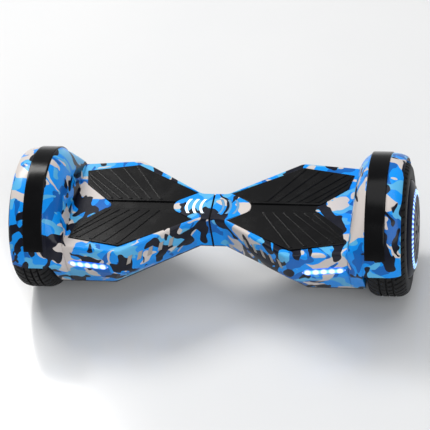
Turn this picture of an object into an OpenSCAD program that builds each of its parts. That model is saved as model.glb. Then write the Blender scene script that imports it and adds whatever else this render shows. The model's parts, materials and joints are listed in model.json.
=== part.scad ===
// Self-balancing two-wheel board: two mirrored halves that twist about a centre tube.
// X runs from wheel to wheel, -Y is the front with the light bars, Z is up.
// The floor is z = 0 and the seam between the halves is x = 0.
// Every piece is drawn for the +X (right) half; the -X half is its mirror image.

/* [Wheels] */
// Diameter over the tyre tread
tyre_d = 203; // [185:1:220]
// Width of the tyre
tyre_w = 60; // [50:1:64]
// Distance from the end of the deck shell to the inner side of the tyre
well_l = 25; // [20:1:40]
// Radial thickness of the solid tyre
tyre_t = 31.5; // [24:0.5:36]
// Diameter of the fixed motor axle
axle_d = 16; // [12:0.5:18]

/* [Deck] */
// Distance from the seam to the join between deck shell and wheel arch
deck_l = 213; // [205:1:216]
// Distance from the seam to the widest place of the deck
apex_x = 126; // [110:1:140]
// Half depth of the deck at its widest place
apex_w = 107.5; // [92:0.5:116]
// Half depth of the deck where it meets the wheel arch
join_w = 97; // [86:0.5:104]
// Half depth of the narrow neck at the seam
neck_w = 31; // [28:0.5:38]
// Length of the straight neck, from the seam
neck_l = 20; // [16:1:26]
// Height of the deck surface above the wheel axle
deck_rise = 34.5; // [30:0.5:46]
// Depth of the flat underside below the wheel axle
belly_drop = 58.5; // [50:0.5:66]
// Depth of the neck's underside below the wheel axle
neck_drop = 23; // [22:0.5:30]
// Wall thickness of the moulded shells
shell_t = 3; // [2:0.25:4]
// Bevel along the top edge of the deck
edge_bevel = 4; // [2:0.5:6]

/* [Wheel arch] */
// Gap between the tyre tread and the inside of the arch
arch_gap = 4.5; // [3:0.5:8]
// Thickness of the hollow arch from its inside to its outer skin
arch_wall = 7; // [6:0.5:14]
// Width of the rubber bumper band over the arch
band_w = 29.5; // [20:0.5:34]
// Height of the bumper band above the arch skin
band_t = 1.7; // [1:0.1:3]
// Angle of the band's ends above the axle level
band_end = 17; // [4:1:30]

/* [Foot pad] */
// Half depth of the pad at its widest place
pad_apex_w = 93.6; // [80:0.2:96]
// Height of the raised lobes above the deck
lobe_h = 2.4; // [1:0.2:4]
// Height of the grip ribs above the lobes
rib_h = 1; // [0.4:0.1:2]
// Number of double ribs on each lobe
rib_pairs = 6; // [3:1:7]
// Gap between pad and deck all round
pad_gap = 0.35; // [0.3:0.05:0.8]
// Travel of the pad when a rider steps on it
pad_travel = 1.5; // [0.5:0.1:2]

/* [Lights and vents] */
// Length of the front light bar
bar_l = 64; // [40:1:66]
// Height of the front light bar
bar_h = 13; // [8:0.5:18]
// Number of vent slats on each front face
vents = 5; // [2:1:5]
// Spacing of the vent slats
vent_pitch = 17.4; // [14:0.2:18]
// Radius of the light ring in each hub cap
ring_r = 56; // [46:0.5:57]

/* [Hidden] */
$fn = 96;
eps = 0.01;

// Fits
seam_gap = 3;
join_gap = 0.3;
fit_gap = 0.3;
run_gap = 0.05;
slip_gap = 0.02;

// Heights, all measured from the axle
axle_z = tyre_d / 2;
deck_z = axle_z + deck_rise;
belly_z = axle_z - belly_drop;
neck_z = axle_z - neck_drop;
waist_z = axle_z - 11.5;
neck_waist_z = axle_z + 3.5;
lip_h = 3.5;
pan_t = 3.2;
lean = 0.1;

// Plan positions
seam_x = seam_gap / 2;
belly_x = apex_x + 20.5;
belly_w = apex_w - 36.5;
neck_belly_w = neck_w - 5;
lip_w = 2.2;
end_wall = 4;

// Wheel arch
arch_in = tyre_d / 2 + arch_gap;
arch_r = arch_in + arch_wall;
tyre_in = deck_l + well_l;
tyre_out = tyre_in + tyre_w;
tyre_x = tyre_in + tyre_w / 2;
well_x = tyre_in - 7;
arch_x0 = deck_l + join_gap;
arch_x1 = tyre_in - 2;
arch_x2 = tyre_out - 6;
arch_lip_z = axle_z + 4;
arch_bevel = 20;
band_x = arch_x1 + 4;
// Rings of the rounded shoulder, each as [x, depth below the arch skin]
shoulder_rings = [
    [arch_x0 + (well_x - arch_x0) * 0.5, 32],
    [arch_x0 + (well_x - arch_x0) * 0.9, 13.5],
    [well_x + 2, 6],
    [arch_x1 + 1, 3.5]
];

// Wheel
rim_r = tyre_d / 2 - tyre_t;
rim_t = 6;
rim_side = 4;
boss_r = 22;
bearing_r = 16;
bearing_w = 8;
cap_l = 13;

// Pivot
pivot_r = 14;
pivot_bore = 11;
pivot_l = 48;
bush_t = 1.5;
collar_r = 18.4;
clip_r = pivot_r + 2.5;
belly_slope = (belly_drop - neck_drop) / (belly_x - neck_l);

// Chassis
plate_t = 4;
plate_top = axle_z + 0.5;
block_x0 = deck_l - 7;
block_x1 = well_x - 2;
block_w = 18;
block_h = 13.5;
post_x = [apex_x - 12, deck_l - 20];
post_w = 46;
post_r = 6;
screw_r = 2;

// Pad plan
tip_x = neck_l + 4.7;
tip_w = neck_w - 0.7;
pad_apex_x = apex_x + 2.2;
pad_out_x = deck_l - 5;
pad_out_w = pad_apex_w - 16.1;
pad_in_x = deck_l - 11;
pad_in_w = pad_out_w - 32;
notch_r = 6;
notch_x = deck_l - 56.4;
tongue_r = 16;
tongue_x = 59;
channel_w = 18;
rim_w = 3;
pad_t = 3;
tray_floor = pad_t + pad_travel + 0.5;
rib_w = 1.8;
rib_x0 = neck_l + 54;
rib_x1 = notch_x + 1;
plunger_r = 3;
plunger_x = apex_x + 14;
plunger_w = 48;
board_z = plate_top + 8;
switch_top = board_z + 7.5;

// Rear corner points of the side faces, as [x, y, z]
function neck_top() = [neck_l, neck_w, deck_z + 2 - edge_bevel];
function apex_top() = [apex_x, apex_w, deck_z - edge_bevel];
function join_top() = [deck_l, join_w, deck_z + 1 - edge_bevel];
// Half depth at the waist below a top edge of half depth w and height z
function waist_w(w, z, zw) = w - lean * (z - edge_bevel - zw);

// Corner points of one cross-section of the body, shrunk by side and top insets
function station(x, w, z, xw, ww, zw, xb, wb, zb, side, top) = [
    for (s = [-1, 1]) each [
        [x, s * (w - side - edge_bevel), z - top],
        [x, s * (w - side), z - top - edge_bevel],
        [xw, s * (ww - side), zw],
        [xb, s * (wb - side), zb]
    ]
];
// Stations of the moulded body at the seam, the neck, the widest place and the join
function neck_station(x, side, top, bottom) = station(
    x, neck_w, deck_z + 2,
    x, waist_w(neck_w, deck_z + 2, neck_waist_z), neck_waist_z,
    x, neck_belly_w, neck_z + bottom, side, top);
function apex_station(side, top, bottom) = station(
    apex_x, apex_w, deck_z,
    apex_x, waist_w(apex_w, deck_z, waist_z), waist_z,
    belly_x, belly_w + lip_w, belly_z + bottom, side, top);
function join_station(x, side, top, bottom) = station(
    x, join_w, deck_z + 1,
    x, waist_w(join_w, deck_z + 1, waist_z), waist_z,
    x, belly_w + lip_w, belly_z + bottom, side, top);

// Convex block through a list of points
module block(points) {
    hull()
        polyhedron(points = points, faces = [[for (i = [0 : len(points) - 1]) i]]);
}

// The body from start to end, shrunk by side and top, its open edge at bottom
module body_form(start, end, side, top, bottom) {
    block(concat(neck_station(start, side, top, bottom), neck_station(neck_l, side, top, bottom)));
    block(concat(neck_station(neck_l, side, top, bottom), apex_station(side, top, bottom)));
    block(concat(apex_station(side, top, bottom), join_station(end, side, top, bottom)));
}

// Puts children on a rear side face: local x runs to the seam, y up, z outward
function unit(v) = v / norm(v);
module on_rear_face(p0, p1, along, drop) {
    u = unit(p1 - p0);
    n = unit(cross(u, [0, -lean, -1]));
    v = cross(u, n);
    o = p0 + along * u - drop * v;
    multmatrix([
        [-u[0], v[0], n[0], o[0]],
        [-u[1], v[1], n[1], o[1]],
        [-u[2], v[2], n[2], o[2]]
    ])
        children();
}
module on_neck_rear(along, drop) {
    on_rear_face(neck_top(), apex_top(), along, drop) children();
}
module on_outer_rear(along, drop) {
    on_rear_face(apex_top(), join_top(), along, drop) children();
}

// Turns a profile drawn as [distance from axle, x] about the axle line
module about_axle(sweep = 360) {
    translate([0, 0, axle_z])
        rotate([0, 90, 0])
            rotate([0, 0, 180 - sweep / 2])
                rotate_extrude(angle = sweep)
                    children();
}
// Round bar along X between two places
module bar_x(x0, x1, r, y = 0, z = axle_z) {
    translate([x0, y, z])
        rotate([0, 90, 0])
            cylinder(h = x1 - x0, r = r);
}

// Arc of a rounded tip that is tangent to lines from [px, py] and [px, -py]
function tip_arc(cx, r, px, py, side, steps = 10) =
    let (
        phi = atan2(py, px - cx),
        beta = acos(r / norm([px - cx, py])),
        a = phi + side * beta,
        span = side > 0 ? 360 - 2 * a : -2 * a
    )
    [for (i = [0 : steps]) cx * [1, 0] + r * [cos(a + span * i / steps), sin(a + span * i / steps)]];

function reversed(list) = [for (i = [len(list) - 1 : -1 : 0]) list[i]];

// Butterfly outline of the foot pad
module pad_plan(grow = 0) {
    notch = tip_arc(notch_x + notch_r, notch_r, pad_in_x, pad_in_w, 1);
    tongue = tip_arc(tongue_x - tongue_r, tongue_r, tip_x, tip_w, -1);
    offset(delta = grow)
        polygon(concat(
            [[tip_x, -tip_w], [pad_apex_x, -pad_apex_w], [pad_out_x, -pad_out_w], [pad_in_x, -pad_in_w]],
            reversed(notch),
            [[pad_in_x, pad_in_w], [pad_out_x, pad_out_w], [pad_apex_x, pad_apex_w], [tip_x, tip_w]],
            tongue
        ));
}
// The two raised lobes, front and rear of the plain channel
module lobe_plan(inset = 0) {
    difference() {
        pad_plan(-pad_gap - inset);
        translate([0, -channel_w / 2 - inset])
            square([deck_l, channel_w + 2 * inset]);
    }
}
// Point on the lobe's outer edge: 0 at the widest corner, 1 at the outer corner, 2 at the inner end
function lobe_edge(t) = t < 1
    ? [pad_apex_x + (pad_out_x - pad_apex_x) * t, pad_apex_w + (pad_out_w - pad_apex_w) * t]
    : [pad_out_x + (pad_in_x - pad_out_x) * (t - 1), pad_out_w + (pad_in_w - pad_out_w) * (t - 1)];
// Flat strip of width w from p to q, moved sideways by d
module strip(p, q, w, d) {
    n = unit([p[1] - q[1], q[0] - p[0]]);
    polygon([p + (d - w / 2) * n, q + (d - w / 2) * n, q + (d + w / 2) * n, p + (d + w / 2) * n]);
}
// Double diagonal ribs that fan out from the channel to the lobe's outer edge
module rib_plan() {
    intersection() {
        lobe_plan(rim_w + 1);
        for (s = [0, 1], i = [0 : rib_pairs - 1], d = [-1, 1])
            mirror([0, s, 0])
                strip(
                    [rib_x0 + (rib_x1 - rib_x0) * i / (rib_pairs - 1), channel_w / 2],
                    lobe_edge(0.05 + 1.35 * i / (rib_pairs - 1)),
                    rib_w, d * rib_w * 0.9
                );
    }
}

// Outlines on the side faces
module light_plan(l, h, grow = 0) {
    offset(delta = grow)
        polygon([
            [-l / 2, 0], [-l / 2 + h / 2, h / 2], [l / 2 - h / 2, h / 2],
            [l / 2, 0], [l / 2 - h / 2, -h / 2], [-l / 2 + h / 2, -h / 2]
        ]);
}
module vent_plan(grow = 0) {
    for (i = [0 : vents - 1])
        translate([(i - (vents - 1) / 2) * vent_pitch, 0])
            offset(delta = grow)
                polygon([[-6, -8], [1, -8], [6, 8], [-1, 8]]);
}
bar_along = (deck_l - apex_x) * 0.6;
bar_drop = 31;
tail_l = 50;
tail_h = 9;
vent_along = 79;
vent_drop = 20;
// Crescent indicators on the tongue, as rings cut to their rear-to-front arc
module indicator_plan(grow = 0) {
    for (x = [15, 26, 37])
        intersection() {
            translate([x - 26, 0])
                difference() {
                    circle(r = 30 + grow);
                    circle(r = 26.5 - grow);
                }
            translate([0, -16 - grow])
                square([60, 32 + 2 * grow]);
        }
}
tongue_top = deck_z + 2;
indicator_slope = atan(2 / (apex_x - neck_l));

// Controls on the rear of the right half
socket_along = 62;
button_along = 92;
control_drop = 16;
socket_r = 8;
button_r = 6;
flap_r = 11;
flap_t = 2;

// ---- Shells ----
module deck_shell(controls = false) {
    difference() {
        body_form(seam_x, deck_l, 0, 0, lip_h);
        difference() {
            body_form(seam_x + end_wall, deck_l + 1, shell_t + 0.2, shell_t, lip_h - 2);
            translate([0, 0, deck_z - tray_floor - shell_t])
                linear_extrude(tray_floor + shell_t + 3)
                    pad_plan(shell_t);
            for (x = post_x, s = [-1, 1])
                translate([x, s * post_w, plate_top + fit_gap])
                    cylinder(h = deck_rise, r = post_r);
        }
        translate([0, 0, deck_z - tray_floor])
            linear_extrude(tray_floor + 4)
                pad_plan();
        for (s = [-1, 1])
            translate([plunger_x, s * plunger_w, axle_z])
                cylinder(h = deck_rise, r = plunger_r + 1);
        bar_x(0, seam_x + end_wall + 1, collar_r + 1.6);
        mirror([0, 1, 0]) {
            on_outer_rear(bar_along, bar_drop)
                translate([0, 0, -10])
                    linear_extrude(20)
                        light_plan(bar_l, bar_h, fit_gap);
            on_neck_rear(vent_along, vent_drop)
                translate([0, 0, -10])
                    linear_extrude(20)
                        vent_plan(fit_gap);
        }
        on_outer_rear(bar_along, bar_drop)
            translate([0, 0, -10])
                linear_extrude(20)
                    light_plan(tail_l, tail_h, fit_gap);
        translate([0, 0, deck_z - 6])
            linear_extrude(12)
                indicator_plan(fit_gap);
        if (controls) {
            on_neck_rear(socket_along, control_drop)
                translate([0, 0, -10])
                    cylinder(h = 20, r = socket_r + fit_gap);
            on_neck_rear(button_along, control_drop)
                translate([0, 0, -10])
                    cylinder(h = 20, r = button_r + fit_gap);
        }
    }
}
module right_upper_shell() { color("deepskyblue") deck_shell(controls = true); }
module left_upper_shell() { color("deepskyblue") mirror([1, 0, 0]) deck_shell(); }

// Points of the pan's edge at height h above the belly line, narrowed by inset
function pan_edge(x, w, z, h, inset) = [for (s = [-1, 1]) [x, s * (w - inset), z + h]];
function pan_layer(x, w, z) = concat(
    pan_edge(x, w, z, 0, 0),
    pan_edge(x, w + lip_w * 0.8, z, pan_t, 0));
module pan_shell(grille = false) {
    difference() {
        union() {
            block(concat(pan_layer(seam_x, neck_belly_w - lip_w, neck_z),
                         pan_layer(neck_l, neck_belly_w - lip_w, neck_z)));
            block(concat(pan_layer(neck_l, neck_belly_w - lip_w, neck_z),
                         pan_layer(belly_x, belly_w, belly_z)));
            block(concat(pan_layer(belly_x, belly_w, belly_z),
                         pan_layer(well_x - 1, belly_w, belly_z)));
        }
        for (x = post_x, s = [-1, 1])
            translate([x, s * post_w, 0]) {
                cylinder(h = axle_z, r = screw_r + 0.3);
                cylinder(h = belly_z + lip_h * 0.5 + belly_rise(x), r = 4.4);
            }
        if (grille)
            for (a = [0 : 60 : 300])
                translate([speaker_x + 10 * cos(a), 10 * sin(a), 0])
                    cylinder(h = axle_z, r = 2.5);
    }
}
speaker_x = belly_x + 24;
module right_lower_shell() { color("dimgray") pan_shell(); }
module left_lower_shell() { color("dimgray") mirror([1, 0, 0]) pan_shell(grille = true); }

// Half-disc of points about the axle from the front lip over the top to the rear lip
function arch_points(x, r, z_low) =
    let (a = asin((axle_z - z_low) / r))
    [for (i = [0 : 36]) [x, -r * cos(-a + (180 + 2 * a) * i / 36), axle_z + r * sin(-a + (180 + 2 * a) * i / 36)]];
module arch_wall_form(shift, inset, drop) {
    w = belly_w + lip_w - inset;
    z = belly_z + lip_h - drop;
    block(concat(
        join_station(arch_x0 + shift, inset, 0, lip_h - drop),
        [for (ring = shoulder_rings) each
            arch_points(ring[0] + shift, arch_r - ring[1] - inset / 2, arch_lip_z)],
        [[well_x + shell_t, -w, z], [well_x + shell_t, w, z]]
    ));
}
module arch_shell() {
    difference() {
        union() {
            arch_wall_form(0, 0, 0);
            about_axle()
                polygon([
                    [arch_in + 2, arch_x1 - 1], [arch_r - 3, arch_x1 - 1], [arch_r - 3, arch_x1 + 0.5],
                    [arch_r, band_x], [arch_r, band_x + band_w + 1], [arch_r - 5, arch_x2],
                    [arch_in, arch_x2], [arch_in + 2, arch_x2 - 4]
                ]);
        }
        intersection() {
            arch_wall_form(shell_t * 1.1, shell_t, 2);
            translate([deck_l, -arch_r, 0])
                cube([well_x - deck_l, 2 * arch_r, 3 * arch_r]);
        }
        bar_x(well_x + shell_t, tyre_out, arch_in);
        translate([arch_x1 - 1.1, -arch_r * 1.5, -arch_r])
            cube([tyre_w, arch_r * 3, arch_lip_z + arch_r]);
        bar_x(well_x - 1, well_x + shell_t + 1, boss_r);
        translate([deck_l - 1, -block_w - 1.5, axle_z - block_h - 1.5])
            cube([8, 2 * block_w + 3, 2 * block_h + 8]);
    }
}
module right_wheel_arch() { color("dodgerblue") arch_shell(); }
module left_wheel_arch() { color("dodgerblue") mirror([1, 0, 0]) arch_shell(); }

module arch_band() {
    about_axle(sweep = 180 - 2 * band_end)
        polygon([
            [arch_r + 0.05, band_x], [arch_r + band_t - 0.7, band_x], [arch_r + band_t, band_x + 1.5],
            [arch_r + band_t, band_x + band_w - 1.5], [arch_r + band_t - 0.7, band_x + band_w],
            [arch_r + 0.05, band_x + band_w]
        ]);
}
module right_arch_bumper() { color("black") arch_band(); }
module left_arch_bumper() { color("black") mirror([1, 0, 0]) arch_band(); }

// ---- Foot pad ----
module pad_body() {
    translate([0, 0, deck_z - pad_t])
        linear_extrude(pad_t)
            pad_plan(-pad_gap);
    translate([0, 0, deck_z - eps])
        linear_extrude(lobe_h)
            lobe_plan();
    translate([0, 0, deck_z + lobe_h - 2 * eps])
        linear_extrude(rib_h)
            rib_plan();
    for (s = [-1, 1])
        translate([plunger_x, s * plunger_w, switch_top - 1])
            cylinder(h = deck_z - pad_t + 1.5 - switch_top, r = plunger_r);
}
module right_foot_pad() { color("darkslategray") pad_body(); }
module left_foot_pad() { color("darkslategray") mirror([1, 0, 0]) pad_body(); }

// ---- Chassis ----
// Height of the underside at x, above the flat belly
function belly_rise(x) = max(0, belly_x - x) * belly_slope;
function post_foot(x) = belly_z + pan_t + fit_gap + belly_rise(x - post_r);
module frame_casting(bore) {
    difference() {
        union() {
            translate([0, 0, plate_top - plate_t])
                linear_extrude(plate_t)
                    polygon([
                        [pivot_l - 14, -26], [80, -44], [apex_x, -64], [block_x0, -64],
                        [block_x0, 64], [apex_x, 64], [80, 44], [pivot_l - 14, 26]
                    ]);
            bar_x(seam_x + 2.5, pivot_l - 4, collar_r);
            for (s = [-1, 1])
                translate([pivot_l + 45, s * 42 - 3, belly_z + 20])
                    cube([block_x0 - pivot_l - 45, 6, plate_top - belly_z - 21]);
            for (x = post_x, s = [-1, 1])
                translate([x, s * post_w, post_foot(x)])
                    cylinder(h = plate_top - 1 - post_foot(x), r = post_r);
            translate([block_x0 - 1, -block_w, axle_z - block_h])
                cube([block_x1 - block_x0 + 1, 2 * block_w, block_h - 0.2]);
        }
        bar_x(0, pivot_l, bore);
        bar_x(pivot_l - 4, pivot_l + 4, clip_r + 1);
        bar_x(block_x0 - 2, block_x1 + 1, axle_d / 2 + slip_gap);
        for (x = post_x, s = [-1, 1])
            translate([x, s * post_w, 0])
                cylinder(h = axle_z - 10, r = screw_r + 0.3);
        for (s = [-1, 1])
            translate([(block_x0 + block_x1) / 2, s * 13, axle_z - 9])
                cylinder(h = 20, r = screw_r + 0.6);
    }
}
module right_chassis() { color("silver") frame_casting(pivot_r + bush_t + slip_gap); }
module left_chassis() { color("silver") mirror([1, 0, 0]) frame_casting(pivot_r + slip_gap); }

module clamp_block() {
    difference() {
        translate([block_x0 + 0.5, -block_w, axle_z + 0.8])
            cube([block_x1 - block_x0 - 0.5, 2 * block_w, block_h - 0.8]);
        bar_x(block_x0 - 1, block_x1 + 1, axle_d / 2 + slip_gap);
        for (s = [-1, 1])
            translate([(block_x0 + block_x1) / 2, s * 13, axle_z - 1])
                cylinder(h = 20, r = screw_r + 0.6);
    }
}
module right_axle_clamp() { color("lightgray") clamp_block(); }
module left_axle_clamp() { color("lightgray") mirror([1, 0, 0]) clamp_block(); }

module clamp_bolt_pair() {
    for (s = [-1, 1])
        translate([(block_x0 + block_x1) / 2, s * 13, 0]) {
            translate([0, 0, axle_z - 8])
                cylinder(h = block_h + 8.2, r = screw_r + 0.4);
            translate([0, 0, axle_z + block_h + 0.1])
                difference() {
                    cylinder(h = 4, r = 4.2);
                    translate([0, 0, 1.5])
                        cylinder(h = 4, r = 2, $fn = 6);
                }
        }
}
module right_clamp_bolts() { color("gray") clamp_bolt_pair(); }
module left_clamp_bolts() { color("gray") mirror([1, 0, 0]) clamp_bolt_pair(); }

module case_screw_set() {
    for (x = post_x, s = [-1, 1])
        translate([x, s * post_w, belly_z + lip_h * 0.5 - 0.05 + belly_rise(x)]) {
            translate([0, 0, -1.6])
                difference() {
                    cylinder(h = 1.6, r = 4);
                    translate([0, 0, -1])
                        cylinder(h = 1.9, r = 1.8, $fn = 6);
                }
            translate([0, 0, -eps])
                cylinder(h = 20, r = screw_r);
        }
}
module right_case_screws() { color("darkgray") case_screw_set(); }
module left_case_screws() { color("darkgray") mirror([1, 0, 0]) case_screw_set(); }

// ---- Wheel ----
module motor_axle() {
    difference() {
        bar_x(block_x0 + 1, tyre_out - rim_side - 1, axle_d / 2);
        bar_x(block_x0 - 1, tyre_in + 12, axle_d / 5);
    }
}
module right_axle() { color("gainsboro") motor_axle(); }
module left_axle() { color("gainsboro") mirror([1, 0, 0]) motor_axle(); }

stator_r = rim_r - rim_t - 1.1;
stator_slots = 18;
module stator_core() {
    difference() {
        bar_x(tyre_in + 15.5, tyre_out - 15.5, stator_r);
        bar_x(tyre_in, tyre_out, axle_d / 2 + slip_gap);
        for (i = [0 : stator_slots - 1])
            translate([0, 0, axle_z])
                rotate([i * 360 / stator_slots, 0, 0])
                    translate([tyre_in, -1.6, stator_r * 0.62])
                        cube([tyre_w, 3.2, stator_r]);
    }
}
module right_stator() { color("peru") stator_core(); }
module left_stator() { color("peru") mirror([1, 0, 0]) stator_core(); }

module bearing_pair() {
    for (x = [tyre_in + 3, tyre_out - rim_side - bearing_w - 1])
        difference() {
            bar_x(x, x + bearing_w, bearing_r - slip_gap);
            bar_x(x - 1, x + bearing_w + 1, axle_d / 2 + run_gap);
        }
}
module right_wheel_bearings() { color("lightsteelblue") bearing_pair(); }
module left_wheel_bearings() { color("lightsteelblue") mirror([1, 0, 0]) bearing_pair(); }

module motor_rim() {
    a = tyre_in + 2;
    b = tyre_out - 2;
    about_axle()
        difference() {
            polygon([
                [bearing_r, a], [rim_r + 4, a], [rim_r + 4, a + 3], [rim_r, a + 3],
                [rim_r, b - 3], [rim_r + 4, b - 3], [rim_r + 4, b], [bearing_r, b]
            ]);
            polygon([
                [0, a + bearing_w + 4], [boss_r, a + bearing_w + 4], [boss_r, a + rim_side],
                [rim_r - rim_t, a + rim_side], [rim_r - rim_t, b - rim_side],
                [boss_r, b - rim_side], [boss_r, b - bearing_w - 4], [0, b - bearing_w - 4]
            ]);
        }
}
module right_motor_rim() { color("slategray") motor_rim(); }
module left_motor_rim() { color("slategray") mirror([1, 0, 0]) motor_rim(); }

module tyre_ring() {
    r = tyre_d / 2;
    groove = 3;
    difference() {
        about_axle()
            polygon([
                [rim_r + 0.05, tyre_in + 5.1], [rim_r + 4.1, tyre_in + 5.1], [rim_r + 4.1, tyre_in + 1],
                [rim_r + 8, tyre_in], [r - 13, tyre_in], [r - 5, tyre_in + 3], [r - 1.2, tyre_in + 9],
                [r, tyre_in + 16], [r, tyre_out - 16],
                [r - 1.2, tyre_out - 9], [r - 5, tyre_out - 3], [r - 13, tyre_out],
                [rim_r + 8, tyre_out], [rim_r + 4.1, tyre_out - 1], [rim_r + 4.1, tyre_out - 5.1],
                [rim_r + 0.05, tyre_out - 5.1]
            ]);
        for (x = [-10, 0, 10])
            about_axle()
                translate([r - groove, tyre_x + x - 1.3])
                    square([groove + 1, 2.6]);
    }
}
module right_tyre() { color("black") tyre_ring(); }
module left_tyre() { color("black") mirror([1, 0, 0]) tyre_ring(); }

module hub_cap() {
    b = tyre_out - 2;
    difference() {
        about_axle()
            polygon([
                [0, b + 0.1], [rim_r + 3, b + 0.1], [rim_r + 1, b + 4], [ring_r + 6, b + 8],
                [ring_r - 5, b + cap_l - 2], [ring_r - 12, b + cap_l - 2.5], [0, b + cap_l]
            ]);
        about_axle()
            translate([ring_r - 4.3, b + 6.2])
                square([8.6, cap_l]);
        bar_x(b, b + 2, boss_r);
    }
}
module right_hub_cap() { color("darkslateblue") hub_cap(); }
module left_hub_cap() { color("darkslateblue") mirror([1, 0, 0]) hub_cap(); }

module hub_light_ring() {
    b = tyre_out - 2;
    about_axle()
        polygon([
            [ring_r - 4, b + 6.4], [ring_r + 4, b + 6.4], [ring_r + 4, b + 8.6], [ring_r - 4, b + cap_l - 2.2]
        ]);
}
module right_hub_light() { color("aqua") hub_light_ring(); }
module left_hub_light() { color("aqua") mirror([1, 0, 0]) hub_light_ring(); }

// ---- Lights and vents ----
module front_lens() {
    mirror([0, 1, 0])
        on_outer_rear(bar_along, bar_drop)
            translate([0, 0, -shell_t])
                linear_extrude(shell_t + 1)
                    light_plan(bar_l, bar_h);
}
module right_front_light() { color("white") front_lens(); }
module left_front_light() { color("white") mirror([1, 0, 0]) front_lens(); }

module light_box() {
    mirror([0, 1, 0])
        on_outer_rear(bar_along, bar_drop)
            translate([0, 0, -shell_t - 9.3])
                difference() {
                    linear_extrude(9)
                        light_plan(bar_l - 2, bar_h + 2);
                    translate([0, 0, 2])
                        linear_extrude(9)
                            light_plan(bar_l - 8, bar_h - 2);
                }
}
module right_light_housing() { color("gray") light_box(); }
module left_light_housing() { color("gray") mirror([1, 0, 0]) light_box(); }

module tail_lens() {
    on_outer_rear(bar_along, bar_drop) {
        translate([0, 0, -shell_t])
            linear_extrude(shell_t + 1)
                light_plan(tail_l, tail_h);
        translate([0, 0, -shell_t - 3])
            linear_extrude(2.6)
                light_plan(tail_l + 5, tail_h + 4);
        translate([0, 0, -shell_t - 1])
            linear_extrude(2)
                light_plan(tail_l - 2, tail_h - 1);
    }
}
module right_tail_light() { color("red") tail_lens(); }
module left_tail_light() { color("red") mirror([1, 0, 0]) tail_lens(); }

module vent_insert() {
    mirror([0, 1, 0])
        on_neck_rear(vent_along, vent_drop) {
            translate([0, 0, -shell_t - 2])
                linear_extrude(shell_t + 1.4)
                    vent_plan();
            translate([-(vents * vent_pitch) / 2, -10, -shell_t - 2.2])
                cube([vents * vent_pitch, 20, 1.9]);
        }
}
module right_vent_grille() { color("tan") vent_insert(); }
module left_vent_grille() { color("tan") mirror([1, 0, 0]) vent_insert(); }

module indicator_guide() {
    base_top = deck_z - shell_t + 1.2;
    translate([0, 0, base_top - 4])
        linear_extrude(shell_t + 4.3)
            indicator_plan();
    translate([9, -11, base_top - 5])
        cube([29, 22, 1.9]);
}
module right_indicator_lens() { color("lightgray") indicator_guide(); }
module left_indicator_lens() { color("white") mirror([1, 0, 0]) indicator_guide(); }

// ---- Electronics ----
module balance_pcb() {
    translate([apex_x + 4, -58, board_z])
        cube([20, 116, 1.6]);
    for (s = [-1, 1]) {
        difference() {
            translate([plunger_x - 5.5, s * plunger_w - 5.5, board_z + 1.5])
                cube([11, 11, switch_top - board_z - 1.5]);
            translate([plunger_x, s * plunger_w, board_z + 2.2])
                cylinder(h = 10, r = plunger_r + 0.8);
        }
        translate([apex_x + 14, s * 25, plate_top + 0.2])
            cylinder(h = board_z - plate_top, r = 3);
    }
    translate([apex_x + 9, -5, board_z + 1.5])
        cube([10, 10, 2.5]);
}
module right_balance_board() { color("green") balance_pcb(); }
module left_balance_board() { color("green") mirror([1, 0, 0]) balance_pcb(); }

module main_board() {
    color("darkgreen")
        mirror([1, 0, 0]) {
            translate([apex_x - 56, -26, board_z])
                cube([56, 52, 1.6]);
            for (x = [apex_x - 50, apex_x - 8], s = [-1, 1])
                translate([x, s * 20, plate_top + 0.2])
                    cylinder(h = board_z - plate_top, r = 3);
            translate([apex_x - 44, -18, board_z + 1.5])
                cube([34, 16, 7]);
            for (x = [apex_x - 40, apex_x - 24])
                translate([x, 14, board_z + 1.5])
                    cylinder(h = 9, r = 5);
        }
}
module speaker() {
    speaker_z = belly_z + pan_t + fit_gap;
    color("dimgray")
        mirror([1, 0, 0])
            translate([speaker_x, 0, speaker_z])
                difference() {
                    union() {
                        cylinder(h = 3, r = 22);
                        cylinder(h = 12, r1 = 18, r2 = 10);
                        cylinder(h = 18, r = 11);
                    }
                    translate([0, 0, -1])
                        cylinder(h = 6, r1 = 17, r2 = 8);
                }
}
pack_x0 = pivot_l + 48;
pack_x1 = block_x0 - 3;
pack_w = 34;
pack_z0 = belly_z + pan_t + fit_gap + belly_rise(pack_x0);
pack_z1 = plate_top - plate_t - fit_gap;
module battery_pack() {
    color("royalblue")
        difference() {
            translate([pack_x0, -pack_w, pack_z0])
                cube([pack_x1 - pack_x0, 2 * pack_w, pack_z1 - pack_z0]);
            translate([(pack_x0 + pack_x1) / 2 - 10, -pack_w - 1, pack_z0 - 1])
                cube([20, 2 * pack_w + 2, 2.2]);
            for (s = [-1, 1])
                translate([(pack_x0 + pack_x1) / 2 - 10, s * pack_w - 1.2, pack_z0 - 1])
                    cube([20, 2.4, pack_z1 - pack_z0 + 2]);
        }
}
module battery_strap() {
    color("darkkhaki")
        difference() {
            translate([(pack_x0 + pack_x1) / 2 - 9.5, -pack_w, pack_z0 + 0.1])
                cube([19, 2 * pack_w, pack_z1 - pack_z0 - 0.1]);
            translate([pack_x0, -pack_w + 1.1, pack_z0 + 1.15])
                cube([pack_x1 - pack_x0, 2 * pack_w - 2.2, pack_z1]);
        }
}

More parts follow.
